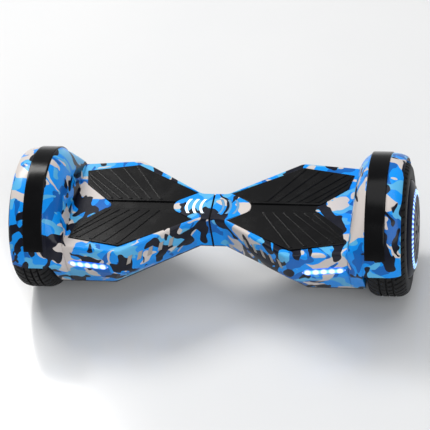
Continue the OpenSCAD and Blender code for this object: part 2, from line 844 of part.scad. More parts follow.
// ---- Centre pivot ----
module pivot_tube() {
    color("lightgray")
        difference() {
            bar_x(-pivot_l, pivot_l + 2, pivot_r);
            bar_x(-pivot_l - 1, pivot_l + 3, pivot_bore);
            difference() {
                bar_x(pivot_l - 3, pivot_l - 0.5, pivot_r + 1);
                bar_x(pivot_l - 4, pivot_l, pivot_r - 1.5);
            }
        }
}
module pivot_bush() {
    color("goldenrod")
        difference() {
            bar_x(seam_x + 3, pivot_l - 4.2, pivot_r + bush_t);
            bar_x(0, pivot_l, pivot_r + run_gap);
        }
}
module pivot_circlip() {
    color("darkgray")
        difference() {
            bar_x(pivot_l - 2.7, pivot_l - 0.8, clip_r);
            bar_x(pivot_l - 4, pivot_l, pivot_r - 1.4);
            translate([pivot_l - 4, -2.5, axle_z])
                cube([5, 5, pivot_r + 5]);
        }
}
module seam_gasket() {
    w = neck_w - 0.6;
    z = deck_z + 1.4;
    wz = neck_waist_z;
    ww = waist_w(neck_w, deck_z + 2, wz) - 0.6;
    color("black")
        translate([-seam_x + fit_gap, 0, 0])
            rotate([90, 0, 90])
                linear_extrude(seam_gap - 2 * fit_gap)
                    difference() {
                        polygon([
                            [-w + edge_bevel, z], [-w, z - edge_bevel], [-ww, wz], [-neck_belly_w + 0.6, neck_z + 0.6],
                            [neck_belly_w - 0.6, neck_z + 0.6], [ww, wz], [w, z - edge_bevel], [w - edge_bevel, z]
                        ]);
                        translate([0, axle_z])
                            circle(r = pivot_r + 0.3);
                    }
}

// ---- Controls ----
module charge_socket() {
    color("dimgray")
        on_neck_rear(socket_along, control_drop)
            difference() {
                union() {
                    translate([0, 0, -16])
                        cylinder(h = 16.5, r = socket_r);
                    translate([0, 0, -shell_t - 3.4])
                        cylinder(h = 2.4, r = socket_r + 1.4, $fn = 6);
                    translate([0, 0, 0.1])
                        cylinder(h = 1, r = socket_r + 1.6);
                }
                translate([0, 0, -9])
                    cylinder(h = 12, r = socket_r - 2.5);
            }
}
module charge_port_cap() {
    color("black")
        on_neck_rear(socket_along, control_drop) {
            translate([0, 0, 1.5])
                cylinder(h = flap_t, r = flap_r);
            translate([-5, flap_r - 4, 1.5])
                cube([10, 5, flap_t]);
            translate([-5, flap_r + 1, 1.5 + flap_t / 2])
                rotate([0, 90, 0])
                    cylinder(h = 10, r = 1);
        }
}
module power_button() {
    color("gainsboro")
        on_neck_rear(button_along, control_drop) {
            translate([0, 0, -8])
                cylinder(h = 9.5, r = button_r);
            translate([0, 0, -8])
                cylinder(h = 2, r = button_r + 1.5);
        }
}

left_upper_shell();
right_upper_shell();
left_lower_shell();
right_lower_shell();
left_wheel_arch();
right_wheel_arch();
left_arch_bumper();
right_arch_bumper();
left_foot_pad();
right_foot_pad();
left_chassis();
right_chassis();
left_axle_clamp();
right_axle_clamp();
left_clamp_bolts();
right_clamp_bolts();
left_axle();
right_axle();
left_stator();
right_stator();
left_wheel_bearings();
right_wheel_bearings();
left_motor_rim();
right_motor_rim();
left_tyre();
right_tyre();
left_hub_cap();
right_hub_cap();
left_hub_light();
right_hub_light();
left_front_light();
right_front_light();
left_light_housing();
right_light_housing();
left_tail_light();
right_tail_light();
left_vent_grille();
right_vent_grille();
left_indicator_lens();
right_indicator_lens();
left_balance_board();
right_balance_board();
left_case_screws();
right_case_screws();
pivot_tube();
pivot_bush();
pivot_circlip();
seam_gasket();
battery_pack();
battery_strap();
main_board();
speaker();
charge_socket();
charge_port_cap();
power_button();
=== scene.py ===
"""Self-balancing two-wheel board: finished meshes, materials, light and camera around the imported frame.

Each sub-assembly is a class that keeps its sizes in millimetres, builds its meshes for the right
half and mirrors them for the left. Every piece is then tied to the body that carries it.
"""
from __future__ import annotations

import json
import logging
import math
from dataclasses import dataclass
from enum import Enum
from typing import Callable, Sequence

import bmesh
import bpy
from mathutils import Matrix, Vector

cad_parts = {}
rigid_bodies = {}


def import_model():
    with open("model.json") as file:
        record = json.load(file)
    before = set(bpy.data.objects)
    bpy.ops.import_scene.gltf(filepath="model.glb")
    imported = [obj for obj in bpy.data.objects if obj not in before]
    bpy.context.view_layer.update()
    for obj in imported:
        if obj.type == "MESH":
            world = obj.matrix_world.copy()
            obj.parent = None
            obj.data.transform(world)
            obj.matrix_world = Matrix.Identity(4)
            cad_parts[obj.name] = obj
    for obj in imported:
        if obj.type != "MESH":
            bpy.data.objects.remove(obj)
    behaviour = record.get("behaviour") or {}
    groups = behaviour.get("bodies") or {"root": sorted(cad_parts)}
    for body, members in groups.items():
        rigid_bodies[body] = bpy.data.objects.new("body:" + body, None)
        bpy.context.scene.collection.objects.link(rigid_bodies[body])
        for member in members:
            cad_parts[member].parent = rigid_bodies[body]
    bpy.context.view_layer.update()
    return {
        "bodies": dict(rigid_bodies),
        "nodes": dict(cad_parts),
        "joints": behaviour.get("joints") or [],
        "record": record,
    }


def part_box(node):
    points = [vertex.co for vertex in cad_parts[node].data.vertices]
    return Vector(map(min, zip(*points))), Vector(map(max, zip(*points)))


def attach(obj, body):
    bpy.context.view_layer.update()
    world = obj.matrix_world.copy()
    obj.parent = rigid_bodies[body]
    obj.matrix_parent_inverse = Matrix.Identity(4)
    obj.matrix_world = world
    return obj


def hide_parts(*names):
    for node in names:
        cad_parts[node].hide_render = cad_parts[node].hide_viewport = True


MM = 0.001
log = logging.getLogger("board")

Point = tuple[float, float, float]
Flat = tuple[float, float]


class Side(Enum):
    """The two mirrored halves of the board."""

    LEFT = -1
    RIGHT = 1

    def node(self, name: str) -> str:
        """Name of this half's node."""
        return f"{self.name.lower()}_{name}"


class Fold(Enum):
    """How a grid of points joins up with itself."""

    OPEN = 0
    ROWS = 1
    COLUMNS = 2
    BOTH = 3


# ---------------------------------------------------------------- mesh tools


def lerp(a: Sequence[float], b: Sequence[float], t: float) -> tuple[float, ...]:
    """Point a share t of the way from a to b."""
    return tuple(p + (q - p) * t for p, q in zip(a, b))


def round_corners(line: Sequence[Sequence[float]], reach: float, steps: int = 6) -> list[tuple[float, ...]]:
    """Softens the inner corners of an open line.

    Args:
        line: Points of the line, in order.
        reach: Distance from each corner at which its curve starts and ends, in mm.
        steps: Pieces in each corner's curve.

    Returns:
        The line with each inner corner as a smooth curve.
    """
    out = [tuple(line[0])]
    for before, corner, after in zip(line, line[1:], line[2:]):
        into = math.dist(before, corner)
        away = math.dist(corner, after)
        start = lerp(corner, before, min(reach / into, 0.45))
        end = lerp(corner, after, min(reach / away, 0.45))
        for i in range(steps + 1):
            t = i / steps
            out.append(lerp(lerp(start, corner, t), lerp(corner, end, t), t))
    out.append(tuple(line[-1]))
    return out


def inset(outline: Sequence[Flat], distance: float) -> list[Flat]:
    """Moves a counter-clockwise outline inwards by a small distance, with mitred corners.

    Args:
        outline: The outline's points.
        distance: Distance inwards in mm. A negative one grows the outline.

    Returns:
        The moved outline, with as many points.
    """
    out = []
    count = len(outline)
    for i, here in enumerate(outline):
        before = Vector(outline[i - 1])
        after = Vector(outline[(i + 1) % count])
        into = (Vector(here) - before).normalized()
        away = (after - Vector(here)).normalized()
        normal = Vector((-into.y - away.y, into.x + away.x))
        if normal.length < 1e-6:
            normal = Vector((-into.y, into.x))
        normal.normalize()
        stretch = max(0.35, normal.dot(Vector((-into.y, into.x))))
        out.append(tuple(Vector(here) + normal * (distance / stretch)))
    return out


class Sketch:
    """Points and faces gathered in millimetres, for the right half of the board."""

    def __init__(self) -> None:
        """Starts empty."""
        self.points: list[Point] = []
        self.faces: list[tuple[int, ...]] = []
        self.frame = Matrix.Identity(4)

    def add(self, points: Sequence[Point]) -> int:
        """Adds points of the sketch's current frame and gives the number of the first."""
        first = len(self.points)
        self.points.extend(tuple(self.frame @ Vector(p)) for p in points)
        return first

    def grid(self, rows: Sequence[Sequence[Point]], fold: Fold = Fold.OPEN) -> None:
        """Adds a skin over rows of equally many points.

        Args:
            rows: The rows, each a list of points.
            fold: Which directions close on themselves.
        """
        across = len(rows[0])
        first = self.add([p for row in rows for p in row])
        last_row = len(rows) if fold in (Fold.ROWS, Fold.BOTH) else len(rows) - 1
        last_column = across if fold in (Fold.COLUMNS, Fold.BOTH) else across - 1
        for i in range(last_row):
            for j in range(last_column):
                a = first + i * across + j
                b = first + i * across + (j + 1) % across
                c = first + ((i + 1) % len(rows)) * across + (j + 1) % across
                d = first + ((i + 1) % len(rows)) * across + j
                self.faces.append((a, b, c, d))

    def cap(self, ring: Sequence[Point]) -> None:
        """Adds one face over a ring of points."""
        first = self.add(ring)
        self.faces.append(tuple(range(first, first + len(ring))))

    def tower(self, rings: Sequence[Sequence[Point]]) -> None:
        """Adds a closed solid from a stack of rings, with a face over the first and the last."""
        self.grid(rings, Fold.COLUMNS)
        self.cap(list(reversed(rings[0])))
        self.cap(rings[-1])

    def prism(self, outline: Sequence[Flat], low: float, high: float) -> None:
        """Adds an upright prism over a counter-clockwise outline."""
        self.tower([[(x, y, z) for x, y in outline] for z in (low, high)])

    def make(self, name: str, side: Side = Side.RIGHT) -> bpy.types.Object:
        """Turns the sketch into an object in metres.

        Args:
            name: Name of the new object.
            side: Half that the object is for. The left is the mirror image.

        Returns:
            The new object, linked to the scene.
        """
        points = [(x * side.value * MM, y * MM, z * MM) for x, y, z in self.points]
        mesh = bpy.data.meshes.new(name)
        mesh.from_pydata(points, [], self.faces)
        tidy = bmesh.new()
        tidy.from_mesh(mesh)
        bmesh.ops.remove_doubles(tidy, verts=tidy.verts, dist=2e-6)
        bmesh.ops.recalc_face_normals(tidy, faces=tidy.faces)
        tidy.to_mesh(mesh)
        tidy.free()
        obj = bpy.data.objects.new(name, mesh)
        bpy.context.scene.collection.objects.link(obj)
        return obj


def apply_modifiers(obj: bpy.types.Object) -> None:
    """Bakes an object's modifiers into its mesh.

    Args:
        obj: The object. Its modifiers are gone afterwards.
    """
    graph = bpy.context.evaluated_depsgraph_get()
    graph.update()
    done = bpy.data.meshes.new_from_object(obj.evaluated_get(graph))
    old = obj.data
    obj.modifiers.clear()
    obj.data = done
    done.name = obj.name
    bpy.data.meshes.remove(old)


def carve(obj: bpy.types.Object, tool: bpy.types.Object, how: str = "DIFFERENCE") -> None:
    """Cuts or joins one solid with another, then discards the tool.

    Args:
        obj: The solid that is changed.
        tool: The solid that cuts it or joins it.
        how: DIFFERENCE, UNION or INTERSECT.
    """
    step = obj.modifiers.new("carve", "BOOLEAN")
    step.operation = how
    step.solver = "MANIFOLD"
    step.object = tool
    before = len(obj.data.vertices)
    apply_modifiers(obj)
    if not obj.data.vertices:
        raise RuntimeError(f"{obj.name}: nothing is left after {tool.name}")
    log.debug("%s: %s vertices to %s", obj.name, before, len(obj.data.vertices))
    mesh = tool.data
    bpy.data.objects.remove(tool)
    bpy.data.meshes.remove(mesh)


def finish_edges(obj: bpy.types.Object, sharp_degrees: float = 32.0) -> None:
    """Shades a mesh smooth, with creases where it turns more sharply than an angle.

    Args:
        obj: The object.
        sharp_degrees: Smallest turn that is left as a crease, in degrees.
    """
    tidy = bmesh.new()
    tidy.from_mesh(obj.data)
    bmesh.ops.dissolve_degenerate(tidy, dist=1e-6, edges=tidy.edges)
    limit = math.radians(sharp_degrees)
    for face in tidy.faces:
        face.smooth = True
    for edge in tidy.edges:
        edge.smooth = edge.is_manifold and edge.calc_face_angle(0.0) < limit
    tidy.to_mesh(obj.data)
    tidy.free()
    weigh = obj.modifiers.new("weigh", "WEIGHTED_NORMAL")
    weigh.keep_sharp = True
    weigh.weight = 60
    apply_modifiers(obj)


def dress(obj: bpy.types.Object, material: bpy.types.Material) -> None:
    """Gives every face of an object one material."""
    obj.data.materials.clear()
    obj.data.materials.append(material)


def place(obj: bpy.types.Object, body: str, slot: str, *nodes: str) -> None:
    """Ties a finished piece to its body and hides the nodes that it stands for.

    Args:
        obj: The piece.
        body: Body that carries it.
        slot: Material slot of the record that its finish comes from. Not used.
        *nodes: Nodes that it replaces.
    """
    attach(obj, body)
    if nodes:
        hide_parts(*nodes)
    log.info("%s rides on %s, %d faces", obj.name, body, len(obj.data.polygons))


# ---------------------------------------------------------------- shader tools


class Shader:
    """A node tree with short ways to add and wire nodes."""

    def __init__(self, tree: bpy.types.NodeTree) -> None:
        """Wraps a tree."""
        self.tree = tree

    def add(self, kind: str, **settings: object) -> bpy.types.Node:
        """Adds a node. Settings that name a socket set its value or wire it, the rest set properties.

        Args:
            kind: Blender's name for the kind of node.
            **settings: Sockets start with a capital, and properties don't.

        Returns:
            The new node.
        """
        node = self.tree.nodes.new(kind)
        for key, value in settings.items():
            if hasattr(node, key) and not key[0].isupper():
                setattr(node, key, value)
        for key, value in settings.items():
            if key[0].isupper():
                self.set(node.inputs[key.replace("_", " ")], value)
        return node

    def set(self, socket: bpy.types.NodeSocket, value: object) -> None:
        """Wires a socket to another, or sets its value.

        Args:
            socket: Input socket.
            value: Socket that feeds it, or its value.
        """
        if isinstance(value, bpy.types.NodeSocket):
            self.tree.links.new(value, socket)
        else:
            socket.default_value = value

    def math(
        self, how: str, a: object, b: object = 0.0, c: object = 0.0, clamp: bool = False
    ) -> bpy.types.NodeSocket:
        """One arithmetic step on one to three values.

        Args:
            how: The operation.
            a: First value or socket.
            b: Second value or socket.
            c: Third value or socket.
            clamp: True to keep the result between 0 and 1.

        Returns:
            Socket that holds the result.
        """
        node = self.tree.nodes.new("ShaderNodeMath")
        node.operation = how
        node.use_clamp = clamp
        for socket, value in zip(node.inputs, (a, b, c)):
            self.set(socket, value)
        return node.outputs[0]

    def mix(self, share: object, a: object, b: object) -> bpy.types.NodeSocket:
        """Blend of two colours by a share.

        Args:
            share: Share of the second colour.
            a: First colour or socket.
            b: Second colour or socket.

        Returns:
            Socket that holds the blend.
        """
        node = self.tree.nodes.new("ShaderNodeMix")
        node.data_type = "RGBA"
        self.set(node.inputs[0], share)
        self.set(node.inputs[6], a)
        self.set(node.inputs[7], b)
        return node.outputs[2]

    def noise(
        self, at: object, scale: float, detail: float = 2.0, rough: float = 0.5, warp: float = 0.0
    ) -> bpy.types.Node:
        """Smooth noise at a position.

        Args:
            at: Socket that holds the position, in metres.
            scale: Blobs per metre.
            detail: Number of finer layers.
            rough: Weight of the finer layers.
            warp: How far the noise bends itself.

        Returns:
            The noise node.
        """
        return self.add(
            "ShaderNodeTexNoise", Vector=at, Scale=scale, Detail=detail, Roughness=rough, Distortion=warp
        )

    def step(self, value: object, low: float, high: float) -> bpy.types.NodeSocket:
        """Rises from 0 to 1 as a value goes from low to high.

        Args:
            value: Value or socket.
            low: Value that gives 0.
            high: Value that gives 1.

        Returns:
            Socket that holds the result.
        """
        node = self.add("ShaderNodeMapRange", interpolation_type="SMOOTHSTEP")
        self.set(node.inputs[0], value)
        self.set(node.inputs[1], low)
        self.set(node.inputs[2], high)
        return node.outputs[0]


def new_group(
    name: str, inputs: dict[str, float | Sequence[float]], outputs: dict[str, str]
) -> tuple[Shader, dict, dict]:
    """Starts a shader node group.

    Args:
        name: Name of the group.
        inputs: Default of each named input, a number or a colour of four numbers.
        outputs: Socket kind of each named output.

    Returns:
        The group's shader, its input sockets and its output sockets, by name.
    """
    tree = bpy.data.node_groups.new(name, "ShaderNodeTree")
    for key, value in inputs.items():
        kind = "NodeSocketFloat" if isinstance(value, float) else "NodeSocketColor"
        tree.interface.new_socket(name=key, in_out="INPUT", socket_type=kind).default_value = value
    for key, kind in outputs.items():
        tree.interface.new_socket(name=key, in_out="OUTPUT", socket_type=kind)
    entry = tree.nodes.new("NodeGroupInput")
    leave = tree.nodes.new("NodeGroupOutput")
    return Shader(tree), {k: entry.outputs[k] for k in inputs}, {k: leave.inputs[k] for k in outputs}


def build_camo_group() -> bpy.types.NodeTree:
    """Printed camouflage film: five colours in layered blobs with pointed tips.

    Returns:
        The node group.
    """
    colours = {
        "Azure": (0.0, 0.300, 0.92, 1.0),
        "Deep": (0.0, 0.13, 0.50, 1.0),
        "Sky": (0.10, 0.46, 0.80, 1.0),
        "Pale": (0.66, 0.60, 0.565, 1.0),
        "Navy": (0.0012, 0.0022, 0.011, 1.0),
    }
    shader, entry, leave = new_group(
        "camo_print", {**colours, "Scale": 1.0}, {"Color": "NodeSocketColor"}
    )
    where = shader.add("ShaderNodeTexCoord").outputs["Object"]
    scaled = shader.add("ShaderNodeVectorMath", operation="SCALE")
    shader.set(scaled.inputs[0], where)
    shader.set(scaled.inputs["Scale"], entry["Scale"])
    bend_scale, bend_reach, blob_rough, blob_warp, soft = 30.0, 0.030, 0.36, 1.15, 0.0035
    bend = shader.noise(scaled.outputs[0], bend_scale, 1.0)
    centred = shader.add("ShaderNodeVectorMath", operation="SUBTRACT")
    shader.set(centred.inputs[0], bend.outputs["Color"])
    centred.inputs[1].default_value = (0.5, 0.5, 0.5)
    pushed = shader.add("ShaderNodeVectorMath", operation="MULTIPLY_ADD")
    shader.set(pushed.inputs[0], centred.outputs[0])
    pushed.inputs[1].default_value = (bend_reach,) * 3
    shader.set(pushed.inputs[2], scaled.outputs[0])
    colour = entry["Azure"]
    layers = (
        ("Deep", (0.37, 1.91, 0.13), (1.0, 0.62, 0.8), 27.0, 0.590),
        ("Sky", (2.13, 0.41, 1.77), (0.7, 1.0, 0.8), 27.0, 0.565),
        ("Pale", (5.31, 3.17, 0.59), (0.62, 1.0, 0.75), 27.0, 0.580),
        ("Navy", (7.73, 9.41, 4.21), (1.0, 0.58, 0.85), 28.0, 0.575),
    )
    for name, shift, stretch, scale, edge in layers:
        moved = shader.add("ShaderNodeMapping")
        shader.set(moved.inputs["Vector"], pushed.outputs[0])
        moved.inputs["Location"].default_value = shift
        moved.inputs["Rotation"].default_value = (0.0, 0.0, shift[0])
        moved.inputs["Scale"].default_value = stretch
        blob = shader.noise(moved.outputs[0], scale, 1.0, blob_rough, blob_warp)
        mask = shader.step(blob.outputs["Fac"], edge - soft, edge + soft)
        colour = shader.mix(mask, colour, entry[name])
    shader.set(leave["Color"], colour)
    return shader.tree


def build_grain_group() -> bpy.types.NodeTree:
    """Fine moulded or cast grain, as a height.

    Returns:
        The node group.
    """
    shader, entry, leave = new_group(
        "moulded_grain", {"Scale": 900.0, "Depth": 1.0}, {"Height": "NodeSocketFloat"}
    )
    where = shader.add("ShaderNodeTexCoord").outputs["Object"]
    fine = shader.add("ShaderNodeTexNoise", Vector=where, Scale=entry["Scale"], Detail=3.0)
    coarse = shader.add("ShaderNodeTexVoronoi", Vector=where, Scale=entry["Scale"])
    both = shader.math("MULTIPLY_ADD", fine.outputs["Fac"], 0.6, coarse.outputs["Distance"])
    shader.set(leave["Height"], shader.math("MULTIPLY", both, entry["Depth"]))
    return shader.tree


def build_handling_group() -> bpy.types.NodeTree:
    """Light dust and handling marks: a mask for roughness and colour.

    Returns:
        The node group.
    """
    shader, entry, leave = new_group("handling", {"Amount": 0.3, "Scale": 30.0}, {"Mask": "NodeSocketFloat"})
    where = shader.add("ShaderNodeTexCoord").outputs["Object"]
    cloud = shader.add("ShaderNodeTexNoise", Vector=where, Scale=entry["Scale"], Detail=5.0, Roughness=0.65)
    soft = shader.step(cloud.outputs["Fac"], 0.42, 0.72)
    shader.set(leave["Mask"], shader.math("MULTIPLY", soft, entry["Amount"]))
    return shader.tree


@dataclass(frozen=True)
class Effects:
    """The shared node groups."""

    camo: bpy.types.NodeTree
    grain: bpy.types.NodeTree
    handling: bpy.types.NodeTree

    @classmethod
    def build(cls) -> Effects:
        """Makes each group once."""
        return cls(build_camo_group(), build_grain_group(), build_handling_group())


def start_material(name: str) -> tuple[bpy.types.Material, Shader, bpy.types.Node]:
    """Starts a material and gives it, its shader and its surface node.

    Args:
        name: Name of the material.

    Returns:
        The material, its shader and its surface node.
    """
    material = bpy.data.materials.new(name)
    material.use_nodes = True
    shader = Shader(material.node_tree)
    return material, shader, material.node_tree.nodes["Principled BSDF"]


@dataclass(frozen=True)
class CamoFilm:
    """Printed camouflage film under a gloss clear coat."""

    name: str = "camo_film"
    roughness: float = 0.30
    coat: float = 0.20
    coat_roughness: float = 0.07
    specular: float = 0.16
    scale: float = 1.0
    dust: tuple[float, float, float] = (0.7, 0.74, 0.8)

    def build(self, effects: Effects) -> bpy.types.Material:
        """Makes the material from the shared effects.

        Args:
            effects: The shared node groups.

        Returns:
            The material.
        """
        material, shader, surface = start_material(self.name)
        print_ = shader.add("ShaderNodeGroup", node_tree=effects.camo, Scale=self.scale)
        marks = shader.add("ShaderNodeGroup", node_tree=effects.handling, Amount=0.22, Scale=26.0)
        share = shader.math("MULTIPLY", marks.outputs[0], 0.04)
        dusty = shader.mix(share, print_.outputs["Color"], (*self.dust, 1.0))
        shader.set(surface.inputs["Base Color"], dusty)
        shader.set(
            surface.inputs["Roughness"],
            shader.math("MULTIPLY_ADD", marks.outputs[0], 0.5, self.roughness),
        )
        surface.inputs["Specular IOR Level"].default_value = self.specular
        surface.inputs["Coat Weight"].default_value = self.coat
        surface.inputs["Coat Roughness"].default_value = self.coat_roughness
        grain = shader.add("ShaderNodeGroup", node_tree=effects.grain, Scale=260.0, Depth=1.0)
        bump = shader.add("ShaderNodeBump", Strength=0.05, Distance=0.0002, Height=grain.outputs[0])
        shader.set(surface.inputs["Normal"], bump.outputs[0])
        return material


@dataclass(frozen=True)
class Moulded:
    """Plain moulded, cast or painted finish with grain and light handling marks."""

    name: str
    color: tuple[float, float, float]
    roughness: float = 0.5
    metallic: float = 0.0
    grain: float = 700.0
    depth: float = 0.15
    marks: float = 0.3
    coat: float = 0.0
    specular: float = 0.5
    dust: tuple[float, float, float] = (0.30, 0.30, 0.31)

    def build(self, effects: Effects) -> bpy.types.Material:
        """Makes the material from the shared effects.

        Args:
            effects: The shared node groups.

        Returns:
            The material.
        """
        material, shader, surface = start_material(self.name)
        marks = shader.add("ShaderNodeGroup", node_tree=effects.handling, Amount=self.marks, Scale=34.0)
        share = shader.math("MULTIPLY", marks.outputs[0], 0.05)
        shader.set(surface.inputs["Base Color"], shader.mix(share, (*self.color, 1.0), (*self.dust, 1.0)))
        shader.set(
            surface.inputs["Roughness"],
            shader.math("MULTIPLY_ADD", marks.outputs[0], 0.35, self.roughness, clamp=True),
        )
        surface.inputs["Metallic"].default_value = self.metallic
        surface.inputs["Coat Weight"].default_value = self.coat
        surface.inputs["Coat Roughness"].default_value = 0.12
        surface.inputs["Specular IOR Level"].default_value = self.specular
        grain = shader.add("ShaderNodeGroup", node_tree=effects.grain, Scale=self.grain, Depth=1.0)
        bump = shader.add("ShaderNodeBump", Strength=self.depth, Distance=0.0003, Height=grain.outputs[0])
        shader.set(surface.inputs["Normal"], bump.outputs[0])
        return material


@dataclass(frozen=True)
class BrushedMetal:
    """Metal with fine lines along one axis."""

    name: str
    color: tuple[float, float, float]
    roughness: float = 0.32
    stretch: tuple[float, float, float] = (1.0, 40.0, 40.0)

    def build(self, effects: Effects) -> bpy.types.Material:
        """Makes the material from the shared effects.

        Args:
            effects: The shared node groups.

        Returns:
            The material.
        """
        material, shader, surface = start_material(self.name)
        where = shader.add("ShaderNodeTexCoord").outputs["Object"]
        moved = shader.add("ShaderNodeMapping")
        shader.set(moved.inputs["Vector"], where)
        moved.inputs["Scale"].default_value = self.stretch
        lines = shader.noise(moved.outputs[0], 60.0, 4.0, 0.6)
        darker = tuple(c * 0.78 for c in self.color)
        tone = shader.mix(lines.outputs["Fac"], (*darker, 1.0), (*self.color, 1.0))
        shader.set(surface.inputs["Base Color"], tone)
        marks = shader.add("ShaderNodeGroup", node_tree=effects.handling, Amount=0.3, Scale=60.0)
        rough = shader.math("MULTIPLY_ADD", lines.outputs["Fac"], 0.16, self.roughness)
        worn = shader.math("MULTIPLY", marks.outputs[0], 0.2)
        shader.set(surface.inputs["Roughness"], shader.math("ADD", rough, worn))
        surface.inputs["Metallic"].default_value = 1.0
        bump = shader.add("ShaderNodeBump", Strength=0.08, Distance=0.0002, Height=lines.outputs["Fac"])
        shader.set(surface.inputs["Normal"], bump.outputs[0])
        return material


@dataclass(frozen=True)
class LitBar:
    """Frosted bar lit from behind by a row of diodes."""

    name: str
    middle: Vector
    along: Vector
    length: float
    height: float
    diodes: int = 5
    strength: float = 1.25

    def build(self, effects: Effects) -> bpy.types.Material:
        """Makes the material: white over each diode, cyan between them and blue at the rim.

        Args:
            effects: The shared node groups.

        Returns:
            The material.
        """
        material, shader, surface = start_material(self.name)
        where = shader.add("ShaderNodeTexCoord").outputs["Object"]
        centred = shader.add("ShaderNodeVectorMath", operation="SUBTRACT")
        shader.set(centred.inputs[0], where)
        centred.inputs[1].default_value = self.middle
        run = shader.add("ShaderNodeVectorMath", operation="DOT_PRODUCT")
        shader.set(run.inputs[0], centred.outputs[0])
        run.inputs[1].default_value = self.along
        rise = shader.add("ShaderNodeSeparateXYZ", Vector=centred.outputs[0]).outputs["Z"]
        pitch = self.length / (self.diodes + 0.4)
        cell = shader.math("PINGPONG", shader.math("ADD", run.outputs["Value"], pitch * 20.5), pitch / 2)
        across = shader.math("DIVIDE", rise, self.height * 0.5)
        nearness = shader.math("DIVIDE", cell, pitch / 2)
        away = shader.math("SUBTRACT", 1.0, nearness)
        spot = shader.math(
            "SQRT", shader.math("ADD", shader.math("POWER", away, 2.0), shader.math("POWER", across, 2.0))
        )
        hot = shader.math("SUBTRACT", 1.0, shader.step(spot, 0.28, 1.08))
        end = shader.math("DIVIDE", shader.math("ABSOLUTE", run.outputs["Value"]), self.length / 2)
        rim = shader.step(shader.math("ABSOLUTE", across), 0.30, 0.85)
        edge = shader.math("MAXIMUM", rim, shader.step(end, 0.72, 0.98))
        body = shader.mix(edge, (0.16, 0.60, 1.0, 1.0), (0.0, 0.10, 0.82, 1.0))
        colour = shader.mix(hot, body, (0.93, 0.99, 1.0, 1.0))
        shader.set(surface.inputs["Emission Color"], colour)
        surface.inputs["Emission Strength"].default_value = self.strength
        shader.set(surface.inputs["Base Color"], shader.mix(0.8, colour, (0.0, 0.10, 0.5, 1.0)))
        surface.inputs["Roughness"].default_value = 0.22
        surface.inputs["Coat Weight"].default_value = 0.5
        grain = shader.add("ShaderNodeGroup", node_tree=effects.grain, Scale=420.0, Depth=1.0)
        bump = shader.add("ShaderNodeBump", Strength=0.1, Distance=0.0002, Height=grain.outputs[0])
        shader.set(surface.inputs["Normal"], bump.outputs[0])
        return material


@dataclass(frozen=True)
class LitLens:
    """Frosted or clear lens of one tint, lit or not."""

    name: str
    color: tuple[float, float, float]
    glow: tuple[float, float, float] = (0.0, 0.0, 0.0)
    strength: float = 0.0
    roughness: float = 0.2

    def build(self, effects: Effects) -> bpy.types.Material:
        """Makes the material from the shared effects.

        Args:
            effects: The shared node groups.

        Returns:
            The material.
        """
        material, shader, surface = start_material(self.name)
        marks = shader.add("ShaderNodeGroup", node_tree=effects.handling, Amount=0.5, Scale=90.0)
        paler = tuple(min(1.0, c * 1.25 + 0.02) for c in self.color)
        tone = shader.mix(marks.outputs[0], (*self.color, 1.0), (*paler, 1.0))
        shader.set(surface.inputs["Base Color"], tone)
        rough = shader.math("MULTIPLY_ADD", marks.outputs[0], 0.2, self.roughness)
        shader.set(surface.inputs["Roughness"], rough)
        if self.strength > 0.0:
            dim = tuple(c * 0.8 for c in self.glow)
            light = shader.mix(marks.outputs[0], (*self.glow, 1.0), (*dim, 1.0))
            shader.set(surface.inputs["Emission Color"], light)
            surface.inputs["Emission Strength"].default_value = self.strength
        surface.inputs["Coat Weight"].default_value = 0.6
        surface.inputs["Coat Roughness"].default_value = 0.06
        return material


# ---------------------------------------------------------------- sizes


@dataclass(frozen=True)
class Form:
    """Main sizes of the right half in millimetres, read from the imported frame."""

    seam_x: float
    deck_l: float
    apex_w: float
    neck_top: float
    foot_z: float
    axle_z: float
    tyre_r: float
    tyre_in: float
    tyre_out: float
    arch_x: float
    arch_end: float
    band_in: float
    band_out: float
    band_r: float
    cap_tip: float

    def axle_frame(self) -> Matrix:
        """Frame whose z runs along the axle, in millimetres."""
        return Matrix.Translation((0.0, 0.0, self.axle_z)) @ Matrix.Rotation(math.radians(90.0), 4, "Y")

    @classmethod
    def read(cls) -> Form:
        """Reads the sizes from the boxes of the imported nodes.

        Returns:
            The sizes.
        """
        shell_lo, shell_hi = (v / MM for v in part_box("right_upper_shell"))
        tyre_lo, tyre_hi = (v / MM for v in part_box("right_tyre"))
        arch_lo, arch_hi = (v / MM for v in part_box("right_wheel_arch"))
        band_lo, band_hi = (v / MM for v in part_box("right_arch_bumper"))
        cap_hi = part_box("right_hub_cap")[1] / MM
        axle_z = (tyre_lo.z + tyre_hi.z) / 2
        return cls(
            seam_x=shell_lo.x,
            deck_l=shell_hi.x,
            apex_w=shell_hi.y,
            neck_top=shell_hi.z,
            foot_z=shell_lo.z,
            axle_z=axle_z,
            tyre_r=(tyre_hi.z - tyre_lo.z) / 2,
            tyre_in=tyre_lo.x,
            tyre_out=tyre_hi.x,
            arch_x=arch_lo.x,
            arch_end=arch_hi.x,
            band_in=band_lo.x,
            band_out=band_hi.x,
            band_r=band_hi.z - axle_z,
            cap_tip=cap_hi.x,
        )


@dataclass(frozen=True)
class Station:
    """Half cross-section of the body: half depth and height of its top edge, waist and foot."""

    x: float
    top: Flat
    waist: Flat
    foot: Flat
    foot_x: float


